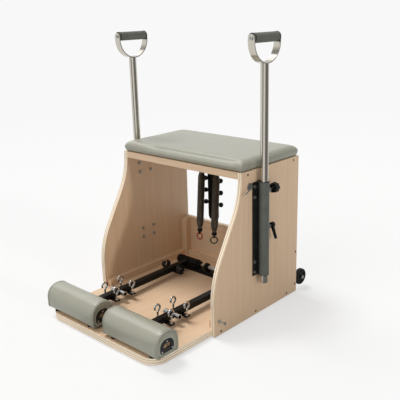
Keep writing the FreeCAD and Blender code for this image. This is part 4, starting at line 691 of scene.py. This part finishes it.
def make_cushion(vinyl, cloth):
    """The seat cushion, stretched over foam, on a thin black sheet that paints the shadow line along its foot."""
    low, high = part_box("seat_cushion")
    rings = [
        level_ring(low, high, inset * MM, radius * MM, CUSHION_CORNER_STEPS, low.z + height * MM)
        for height, inset, radius in CUSHION_RINGS
    ]
    cushion = new_piece("seat_cushion_cover", skin(rings), vinyl, "frame")
    even(cushion)
    swell(cushion, CUSHION_CAP)
    points = read_rows(cushion, "co")
    points[:, 2] = np.maximum(points[:, 2], low.z + CUSHION_FOOT)
    for axis in (0, 1):
        reach = (low[axis] - CUSHION_OVERHANG, high[axis] + CUSHION_OVERHANG)
        points[:, axis] = np.clip(points[:, axis], *reach)
    write_points(cushion, points)
    ripple(cushion, CUSHION_RIPPLE, CUSHION_RIPPLE_SPAN)
    crease_front(cushion, low, high)
    pleat_corners(cushion, low, high)
    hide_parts("seat_cushion")

    # Painted shadow: a black sheet under the cover's foot shows as the dark line along it.
    sheet = [
        level_ring(low, high, inset, SHADOW_LINE_CORNER, SHADOW_LINE_STEPS, low.z + height)
        for height, inset in SHADOW_LINE_RINGS
    ]
    new_piece("seat_cushion_shadow_line", skin(sheet), cloth, "frame")


# Foot pads

PAD_ARCH = 46 * MM
PAD_FOOT = 13 * MM
CORE_ARCH = 26 * MM
CORE_FOOT = 9 * MM
LOAF_STEPS = 12
PAD_RING_STEP = 6 * MM
PAD_CAP = 1.3 * MM
PAD_HELD = 1 * MM
# The stitches are about twice as far apart and as thick as real ones, so that they show. Each runs across
# the welt between two spots, given as how far in from the pad's end and the inset from its outline.
STITCH_PITCH = 6.5 * MM
STITCH_RADIUS = 0.8 * MM
STITCH_RISE = 0.6
STITCH_BENDS = 6
STITCH_SIDES = 7
STITCH_INNER = (6.4 * MM, 0)
STITCH_OUTER = (-4 * MM, 5.4 * MM)
# Rings at a pad's end, from behind its end plate to its tube, in millimetres: how far in from the end, the
# inset from the pad's outline or, where the share is 1, from the core's, and the share towards the core's.
PAD_END = [
    (6, 3, 1), (5, -0.4, 1), (0.6, -0.5, 1), (-0.6, -1.6, 1), (-1.4, -3, 0.85), (-1.6, -1, 0.62),
    (-0.2, 0, 0.5), (-1.6, 3, 0.32), (-1.8, 7, 0.12), (-1.2, 10.6, 0), (1.6, 9, 0), (-1.4, 8, 0),
    (-3.8, 6.5, 0), (-4.6, 4.6, 0), (-4.2, 2.6, 0), (-2.8, 1, 0), (-0.6, 0.1, 0), (1.6, -0.3, 0),
    (3.6, 0, 0), (5.2, 1.3, 0), (7, 0.5, 0), (9.5, 0, 0), (12.5, 0, 0),
]


def stitched_welt(piece, inner, outer):
    """Stitches across a welt, between two closed paths of matching points, laid on a piece's surface."""
    stitches = []
    carried = 0.0
    for index, start in enumerate(inner):
        following = (index + 1) % len(inner)
        run = (inner[following] - start).length
        while carried < run:
            share = carried / run
            first = start.lerp(inner[following], share)
            last = outer[index].lerp(outer[following], share)
            thread = []
            for bend in range(STITCH_BENDS + 1):
                spot, out = on_surface(piece, first.lerp(last, bend / STITCH_BENDS))
                rise = -1 if bend in (0, STITCH_BENDS) else STITCH_RISE
                thread.append(spot + out * STITCH_RADIUS * rise)
            stitches.append(wire(thread, STITCH_RADIUS, STITCH_SIDES))
            carried += STITCH_PITCH
        carried -= run
    return stitches


def loaf(low, high, inset, foot, arch):
    """An arched outline drawn in by an inset, as (y, z) points spread over its arcs and its straights."""
    low_y, high_y = low.y + inset, high.y - inset
    low_z, high_z = low.z + inset, high.z - inset
    bent = rounded_corners([
        (low_y, low_z, foot - inset), (high_y, low_z, foot - inset),
        (high_y, high_z, arch - inset), (low_y, high_z, arch - inset),
    ], LOAF_STEPS)
    points = []
    for index, point in enumerate(bent):
        points.append(point)
        if index % (LOAF_STEPS + 1) == LOAF_STEPS:
            following = bent[(index + 1) % len(bent)]
            points += [point.lerp(following, step / LOAF_STEPS) for step in range(1, LOAF_STEPS)]
    return points


def pad_ring(x, inset, share, cover, core):
    """One ring round a pad, between its own outline and its core's."""
    outer = loaf(*cover, 0 if share == 1 else inset, PAD_FOOT, PAD_ARCH)
    inner = loaf(*core, inset if share == 1 else 0, CORE_FOOT, CORE_ARCH)
    return [Vector((x, *wide.lerp(narrow, share))) for wide, narrow in zip(outer, inner)]


def make_foot_pad(side, vinyl, thread):
    """One foot pad: a loaf of foam in vinyl, with stitched welts, drawn in under its end plates."""
    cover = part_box(f"{side}_pad_cover")
    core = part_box(f"{side}_pad_core")
    low, high = cover
    ends = [(depth * MM, inset * MM, share) for depth, inset, share in PAD_END]
    tube_start = low.x + ends[-1][0]
    tube_end = high.x - ends[-1][0]
    tube_steps = round((tube_end - tube_start) / PAD_RING_STEP)
    rings = [pad_ring(low.x + depth, inset, share, cover, core) for depth, inset, share in ends]
    for step in range(1, tube_steps):
        rings.append(pad_ring(tube_start + (tube_end - tube_start) * step / tube_steps, 0, 0, cover, core))
    rings += [pad_ring(high.x - depth, inset, share, cover, core) for depth, inset, share in reversed(ends)]
    pad = new_piece(f"{side}_foot_pad_cover", skin(rings), vinyl, f"{side}_pedal")
    along = read_rows(pad, "co")[:, 0]
    held = np.flatnonzero((along < tube_start + PAD_HELD) | (along > tube_end - PAD_HELD))
    swell(pad, PAD_CAP, held)
    points = read_rows(pad, "co")
    points[:, 2] = np.maximum(points[:, 2], low.z)
    write_points(pad, points)

    seams = []
    for end, inward in ((low.x, 1), (high.x, -1)):
        inner, outer = [
            pad_ring(end + inward * depth, inset, 0, cover, core)
            for depth, inset in (STITCH_INNER, STITCH_OUTER)
        ]
        seams += stitched_welt(pad, inner, outer)
    new_piece(f"{side}_foot_pad_stitching", joined(seams), thread, f"{side}_pedal")
    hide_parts(f"{side}_pad_cover")


# Hanging springs, measured down from the top rod

SPRING_LEAN = math.radians(-4.8)
RING_TURN = {"left": 0, "right": math.radians(43)}
COIL_TURNS = 49
TAPER_TURNS = 5
TURN_STEPS = 20
COIL_RADIUS = 13 * MM
COIL_END_RADIUS = 7.5 * MM
COIL_PITCH = 4.95 * MM
COIL_BEND = 5 * MM
COIL_BEND_STEPS = 6
SPRING_WIRE = 2.15 * MM
SPRING_WIRE_SIDES = 10
EYE_RADIUS = 10 * MM
EYE_BORE = 6.1 * MM
EYE_WIDTH = 12 * MM
NECK_RADIUS = 5 * MM
NECK_LENGTH = 6 * MM
NECK_SIDES = 24
CAP_RADIUS = 12 * MM
CAP_HEIGHT = 5 * MM
CAP_EASE = 2.4 * MM
CAP_SIDES = 32
LOW_CAP_RADIUS = 10.6 * MM
LOW_CAP_CLOSE = 7 * MM
LOW_CAP_SKIRT = 1.5 * MM
LOW_CAP_EASE = 4.2 * MM
LUG_SIZE = (6 * MM, 11 * MM, 13 * MM)
LUG_CORNER_STEPS = 3
EDGE_EASE = 1 * MM


def coil_path():
    """The wire's middle line: down from the upper cap, round the turns and down into the lower cap."""
    quarter = quarter_turn(COIL_BEND_STEPS)
    top = COIL_BEND + 2 * SPRING_WIRE
    foot = -COIL_TURNS * COIL_PITCH
    path = [Vector((COIL_END_RADIUS, -COIL_BEND, top))]
    for angle in quarter:
        rise = COIL_BEND * (1 - math.sin(angle))
        path.append(Vector((COIL_END_RADIUS, -COIL_BEND * math.cos(angle), rise)))
    for step in range(1, COIL_TURNS * TURN_STEPS):
        turn = step / TURN_STEPS
        taper = min(1.0, turn / TAPER_TURNS, (COIL_TURNS - turn) / TAPER_TURNS)
        radius = COIL_END_RADIUS + (COIL_RADIUS - COIL_END_RADIUS) * smooth_step(taper, 0, 1)
        angle = 2 * math.pi * turn
        path.append(Vector((radius * math.cos(angle), radius * math.sin(angle), -COIL_PITCH * turn)))
    for angle in quarter:
        drop = COIL_BEND * (1 - math.cos(angle))
        path.append(Vector((COIL_END_RADIUS, COIL_BEND * math.sin(angle), foot - drop)))
    path.append(Vector((COIL_END_RADIUS, COIL_BEND, foot - top)))
    return path


def spring_eye():
    """The eye on the rod: a short tube with eased edges, along X."""
    half = EYE_WIDTH / 2
    loop = [
        (-half + EDGE_EASE, EYE_BORE), (half - EDGE_EASE, EYE_BORE), (half, EYE_BORE + EDGE_EASE),
        (half, EYE_RADIUS - EDGE_EASE), (half - EDGE_EASE, EYE_RADIUS), (-half + EDGE_EASE, EYE_RADIUS),
        (-half, EYE_RADIUS - EDGE_EASE), (-half, EYE_BORE + EDGE_EASE),
    ]
    return moved(lathed(loop, CAP_SIDES, hollow=True), Matrix.Rotation(math.pi / 2, 4, "Y"))


def spring_lug(side, foot):
    """The flat lug for the end ring, eased at its foot and turned as the ring is."""
    rings = []
    for height, inset in ((0, 2 * EDGE_EASE), (EDGE_EASE, EDGE_EASE), (3 * EDGE_EASE, 0), (LUG_SIZE[2], 0)):
        corner = Vector((LUG_SIZE[0] / 2 - inset / 2, LUG_SIZE[1] / 2 - inset))
        rings.append(level_ring(-corner, corner, 0, EDGE_EASE, LUG_CORNER_STEPS, foot + height))
    return moved(skin(rings), Matrix.Rotation(RING_TURN[side], 4, "Z"))


def make_spring(side, coat, black):
    """One spring: its eye on the rod, upper cap, turns, lower cap and the lug for its end ring."""
    cap_top = -EYE_RADIUS - NECK_LENGTH
    neck = lathed(eased(cap_top - EDGE_EASE, -EYE_BORE - EDGE_EASE, NECK_RADIUS, EDGE_EASE / 2), NECK_SIDES)
    upper = lathed(eased(cap_top - CAP_HEIGHT, cap_top, CAP_RADIUS, CAP_EASE), CAP_SIDES)
    coil_start = cap_top - CAP_HEIGHT - 2 * SPRING_WIRE - COIL_BEND
    coil_wire = wire(coil_path(), SPRING_WIRE, SPRING_WIRE_SIDES)
    coil = moved(coil_wire, Matrix.Translation((0, 0, coil_start)))
    cap_low = coil_start - COIL_TURNS * COIL_PITCH - COIL_BEND - 2 * SPRING_WIRE
    cap_foot = cap_low - CAP_HEIGHT
    lower_profile = eased(cap_foot - LOW_CAP_SKIRT, cap_low + LOW_CAP_CLOSE, LOW_CAP_RADIUS, LOW_CAP_EASE)
    lower = lathed(lower_profile, CAP_SIDES)
    lug = spring_lug(side, cap_foot - LUG_SIZE[2])

    hung = Matrix.Translation(joint_place(f"{side}_spring_swing")) @ Matrix.Rotation(SPRING_LEAN, 4, "X")
    body = f"{side}_hanging_spring"
    spring = new_piece(f"{side}_coil_spring", moved(coil, hung), coat, body)
    fittings = moved(joined([spring_eye(), neck, upper, lower, lug]), hung)
    new_piece(f"{side}_spring_fittings", fittings, black, body)
    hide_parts(f"{side}_spring")


# Dark rims on the ends of the hand grips

RIM_WIDTH = 5 * MM
RIM_STAND = 0.7 * MM
RIM_DEPTH = 2.1 * MM
RIM_SETBACK = 0.2 * MM
RIM_SIDES = 48


def make_grip_rims(side, nylon):
    """Moulded end caps around both ends of a hand grip."""
    low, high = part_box(f"{side}_handle_grip")
    radius = (high.z - low.z) / 2
    inner = radius - RIM_DEPTH
    outer = radius + RIM_STAND
    loop = [
        (RIM_SETBACK, inner), (RIM_WIDTH, inner), (RIM_WIDTH, outer - EDGE_EASE / 2),
        (RIM_WIDTH - EDGE_EASE, outer), (EDGE_EASE, outer), (RIM_SETBACK, outer - EDGE_EASE),
    ]
    rim = lathed(loop, RIM_SIDES, hollow=True)
    rims = []
    for y in (low.y, high.y - RIM_WIDTH):
        place = Matrix.Translation(((low.x + high.x) / 2, y, (low.z + high.z) / 2))
        rims.append(moved(rim, place @ Matrix.Rotation(-math.pi / 2, 4, "X")))
    new_piece(f"{side}_grip_rims", joined(rims), nylon, f"{side}_handle")


# Finishes on the rigid pieces

# A face looks along an axis where its normal's share of that axis is more than this.
FACING = 0.7
# Boards: the axis across their plies and the axis along the grain of their faces.
BOARDS = {
    "base_board": ("Z", "Y"),
    "left_side_panel": ("X", "Z"),
    "right_side_panel": ("X", "Z"),
    "seat_board": ("Z", "X"),
    "back_panel": ("Y", "X"),
}
BOARD_EASE = 1.2 * MM
BOARD_EASE_ANGLE = math.radians(60)
SIDE_CLEAT_DEPTH = 21 * MM
LOW_CLEAT_HEIGHT = 28.5 * MM
STUD_SETBACK = 0.5 * MM


def paint(node, *materials):
    """Gives a rigid piece its materials, the first all over."""
    mesh = nodes[node].data
    mesh.materials.clear()
    for material in materials:
        mesh.materials.append(material)
    mesh.polygons.foreach_set("material_index", [0] * len(mesh.polygons))


def paint_where(node, index, test):
    """Gives one of a rigid piece's materials to the faces that pass a test of their middle and normal."""
    for polygon in nodes[node].data.polygons:
        if test(polygon.center, polygon.normal):
            polygon.material_index = index


def ease_edges(node):
    """Breaks a board's sharp edges, as sanding does."""
    ease = nodes[node].modifiers.new("eased_edges", "BEVEL")
    ease.width = BOARD_EASE
    ease.segments = 2
    ease.limit_method = "ANGLE"
    ease.angle_limit = BOARD_EASE_ANGLE


def make_finishes():
    """All materials by the record's slot names, apart from the plywood."""
    return {
        "vinyl": embossed_vinyl(),
        "black_steel": black_powder_coat(),
        "screw_steel": black_oxide(),
        "housing_grey": grey_powder_coat(),
        "stainless": brushed_stainless(),
        "chrome": chrome_plate(),
        "bolt_steel": zinc_plate(),
        "black_plastic": moulded_nylon(),
        "rubber": moulded_rubber(),
        "grip_rubber": foam_grip(),
        "core_wood": oiled_hardwood_end(),
        "spring_steel": coated_spring_wire(),
        "red_ring": dipped_ring("vinyl_dipped_ring_red", "#7C1E12", "#9C2F1D"),
        "green_ring": dipped_ring("vinyl_dipped_ring_green", "#15291D", "#21402E"),
        "tyre_rubber": tyre_rubber(),
        "wheel_plastic": moulded_nylon(),
    }


def dress_boards():
    """Veneer on the boards' faces and on the seat board's front edge, bare plies on the other edges, and
    cleats with their grain along them."""
    faces = {axis: lacquered_maple(axis) for axis in AXES}
    edges = {axis: plywood_edge(axis) for axis in AXES}
    for board, (layers, grain) in BOARDS.items():
        paint(board, faces[grain], edges[layers])
        axis = AXES[layers]
        paint_where(board, 1, lambda middle, normal: abs(normal[axis]) < FACING)
        ease_edges(board)
    paint_where("seat_board", 0, lambda middle, normal: normal.y < -FACING)

    low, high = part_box("cleats")
    paint("cleats", faces["X"], faces["Y"], faces["Z"])
    paint_where("cleats", 1, lambda middle, normal: abs(middle.x) > high.x - SIDE_CLEAT_DEPTH)
    paint_where("cleats", 2, lambda middle, normal: middle.z > low.z + LOW_CLEAT_HEIGHT)


def dress_clamps(finishes):
    """Nylon knobs and levers on zinc studs."""
    for side in SIDES:
        for clamp in ("knob", "lever"):
            stud_end = joint_place(f"{side}_{clamp}_turn").y - STUD_SETBACK
            node = f"{side}_clamp_{clamp}"
            paint(node, finishes["black_plastic"], finishes["bolt_steel"])
            paint_where(node, 1, lambda middle, normal: middle.y < stud_end)


def dress_frame(finishes):
    """Every rigid piece's finish."""
    for row in frame["record"]["subparts"]:
        if row["material_slot"] in finishes:
            paint(row["node"], finishes[row["material_slot"]])
    dress_boards()
    # Painted light: the brackets share the black coat but get a lighter copy of it.
    paint("housing_brackets", brightened_black_powder_coat())
    dress_clamps(finishes)


# Studio

CAMERA_PLACE = (1.6383, -1.6390, 1.1311)
CAMERA_AZIMUTH = math.radians(42.91)
CAMERA_ELEVATION = math.radians(16.98)
CAMERA_ROLL = math.radians(-1.54)
CAMERA_LENS = 56.005
CAMERA_SENSOR = 36.0
# Lamps: where each stands from the chair, its strength and its spread.
LAMPS = {
    "overhead_softbox": (Vector((-0.42, -0.05, 1.0)), 1.85, math.radians(20)),
    "front_softbox": (Vector((-0.1, -0.8, 0.6)), 0.8, math.radians(40)),
    "right_softbox": (Vector((0.97, -0.02, 0.24)), 0.6, math.radians(4)),
    "back_left_softbox": (Vector((-0.8, 0.25, 0.75)), 0.45, math.radians(40)),
}
# The low lamp lights what faces it, without glaring along the seat.
NO_GLARE = ("right_softbox",)
SKY_STRENGTH = 0.37
SURROUND_WHITE = 0.94
# Dark screens and a dark ceiling that metal mirrors: the middle and half width of each screen, in turns, and
# the heights between which the ceiling darkens.
SCREENS = ((0.232, 0.038), (0.53, 0.12))
SCREEN_SHADE = 0.78
CEILING_FROM = 0.4
CEILING_FULL = 0.7
CEILING_SHADE = 0.7
FLOOR_HALF = 60.0
FLOOR_PAPER = "#EBEBEA"
FLOOR_BOUNCE = "#CDCDCC"
FLOOR_GLOW = 0.62
# The distances, in metres, between which the floor fades into the surround.
FLOOR_FADE = (2.2, 5.0)


def make_camera():
    """A camera where the photograph was taken from."""
    level = math.cos(CAMERA_ELEVATION)
    along = math.cos(CAMERA_AZIMUTH) * level
    back = Vector((math.sin(CAMERA_AZIMUTH) * level, -along, math.sin(CAMERA_ELEVATION)))
    right = (-back).cross(Vector((0, 0, 1))).normalized()
    up = back.cross(right)
    rolled_right = right * math.cos(CAMERA_ROLL) + up * math.sin(CAMERA_ROLL)
    rolled_up = up * math.cos(CAMERA_ROLL) - right * math.sin(CAMERA_ROLL)
    lens = bpy.data.cameras.new("studio_camera")
    lens.lens = CAMERA_LENS
    lens.sensor_width = CAMERA_SENSOR
    lens.sensor_fit = "HORIZONTAL"
    lens.clip_end = 4 * FLOOR_HALF
    camera = bpy.data.objects.new("studio_camera", lens)
    turn = Matrix((rolled_right, rolled_up, back)).transposed().to_4x4()
    camera.matrix_world = Matrix.Translation(CAMERA_PLACE) @ turn
    scene.collection.objects.link(camera)
    scene.camera = camera


def seen_plainly(tree):
    """1 for a ray that shows the background: straight from the camera, mirrored or through glass."""
    path = add_node(tree, "LightPath")
    mirrored = add_node(tree, "Math", {"operation": "MAXIMUM"},
                        links={0: path["Is Camera Ray"], 1: path["Is Glossy Ray"]})
    through = add_node(tree, "Math", {"operation": "MAXIMUM"},
                       links={0: mirrored[0], 1: path["Is Transmission Ray"]})
    return through[0]


def mirrored_white(tree, way, plain_white):
    """A white that the studio's dark ceiling and screens cut out of mirrors only."""
    turn = add_node(tree, "TexGradient", {"gradient_type": "RADIAL"}, links={"Vector": way})
    mirrored = add_node(tree, "LightPath")["Is Glossy Ray"]
    height = add_node(tree, "SeparateXYZ", links={0: way})["Z"]
    above = add_node(tree, "MapRange",
                     values={"From Min": CEILING_FROM, "From Max": CEILING_FULL, "To Max": CEILING_SHADE},
                     links={"Value": height})
    ceiling = add_node(tree, "Math", {"operation": "MULTIPLY"}, links={0: above[0], 1: mirrored})
    light = add_node(tree, "Math", {"operation": "SUBTRACT"}, {0: 1.0}, {1: ceiling[0]})
    white = add_node(tree, "Math", {"operation": "MULTIPLY"}, links={0: plain_white, 1: light[0]})[0]
    for middle, half in SCREENS:
        screen = add_node(tree, "Math", {"operation": "COMPARE"}, {1: middle, 2: half}, {0: turn["Fac"]})
        shown = add_node(tree, "Math", {"operation": "MULTIPLY"}, links={0: screen[0], 1: mirrored})
        shade = add_node(tree, "MapRange", values={"To Min": 1.0, "To Max": 1 - SCREEN_SHADE},
                         links={"Value": shown[0]})
        white = add_node(tree, "Math", {"operation": "MULTIPLY"}, links={0: white, 1: shade[0]})[0]
    return white


def make_surround():
    """A white surround for the eye and for mirrors, and a weaker even light from it."""
    world = bpy.data.worlds.new("white_surround")
    world.use_nodes = True
    scene.world = world
    tree = world.node_tree
    way = add_node(tree, "TexCoord")["Generated"]
    white = add_node(tree, "MapRange", values={"To Min": SKY_STRENGTH, "To Max": SURROUND_WHITE},
                     links={"Value": seen_plainly(tree)})[0]
    surround = tree.nodes["Background"]
    surround.inputs["Color"].default_value = (1, 1, 1, 1)
    tree.links.new(mirrored_white(tree, way, white), surround.inputs["Strength"])


def studio_paper():
    """Matt white paper: seen straight it glows a little, so that the shadow on it stays faint, and far off
    it fades into the surround."""
    values = {"Roughness": 0.9, "Specular IOR Level": 0.0}
    paper, tree, shader, place = new_material("matt_studio_paper", values)
    plain = seen_plainly(tree)
    colour = add_node(tree, "Mix", {"data_type": "RGBA"},
                      {MIX["first"]: linear(FLOOR_BOUNCE), MIX["second"]: linear(FLOOR_PAPER)},
                      {MIX["factor"]: plain})
    link_shader(tree, shader, {"Base Color": colour[MIX["result"]]})
    mirrored = add_node(tree, "LightPath")["Is Glossy Ray"]
    away = add_node(tree, "VectorMath", {"operation": "LENGTH"}, links={0: place})
    bright = add_node(tree, "MapRange",
                      values={"From Min": FLOOR_FADE[0], "From Max": FLOOR_FADE[1], "To Min": FLOOR_GLOW},
                      links={"Value": away["Value"]})
    part = add_node(tree, "Math", {"operation": "MULTIPLY"}, links={0: plain, 1: bright[0]})
    share = add_node(tree, "Math", {"operation": "MAXIMUM"}, links={0: part[0], 1: mirrored})
    white = add_node(tree, "Math", {"operation": "MULTIPLY"}, {1: SURROUND_WHITE}, {0: plain})
    strength = mirrored_white(tree, place, white[0])
    glow = add_node(tree, "Emission", links={"Strength": strength})
    both = add_node(tree, "MixShader", links={0: share[0], 1: shader.outputs[0], 2: glow[0]})
    tree.links.new(both[0], tree.nodes["Material Output"].inputs["Surface"])
    return paper


def make_studio():
    """A pale floor that keeps the shadow, a white surround and soft lamps."""
    make_surround()
    for name, (place, strength, spread) in LAMPS.items():
        light = bpy.data.lights.new(name, "SUN")
        light.energy = strength
        light.angle = spread
        lamp = bpy.data.objects.new(name, light)
        lamp.rotation_euler = place.to_track_quat("Z", "Y").to_euler()
        lamp.visible_glossy = name not in NO_GLARE
        scene.collection.objects.link(lamp)

    half = FLOOR_HALF
    corners = [(-half, -half, 0), (half, -half, 0), (half, half, 0), (-half, half, 0)]
    mesh = bpy.data.meshes.new("studio_floor")
    mesh.from_pydata(corners, [], [(0, 1, 2, 3)])
    mesh.materials.append(studio_paper())
    floor = bpy.data.objects.new("studio_floor", mesh)
    scene.collection.objects.link(floor)
    scene.view_settings.view_transform = "Standard"


make_camera()
make_studio()
FINISHES = make_finishes()
dress_frame(FINISHES)
make_cushion(FINISHES["vinyl"], shadow_line_cloth())
THREAD = twisted_thread()
for pad_side in SIDES:
    make_foot_pad(pad_side, FINISHES["vinyl"], THREAD)
for spring_side in SIDES:
    make_spring(spring_side, FINISHES["spring_steel"], FINISHES["black_steel"])
for grip_side in SIDES:
    make_grip_rims(grip_side, FINISHES["black_plastic"])
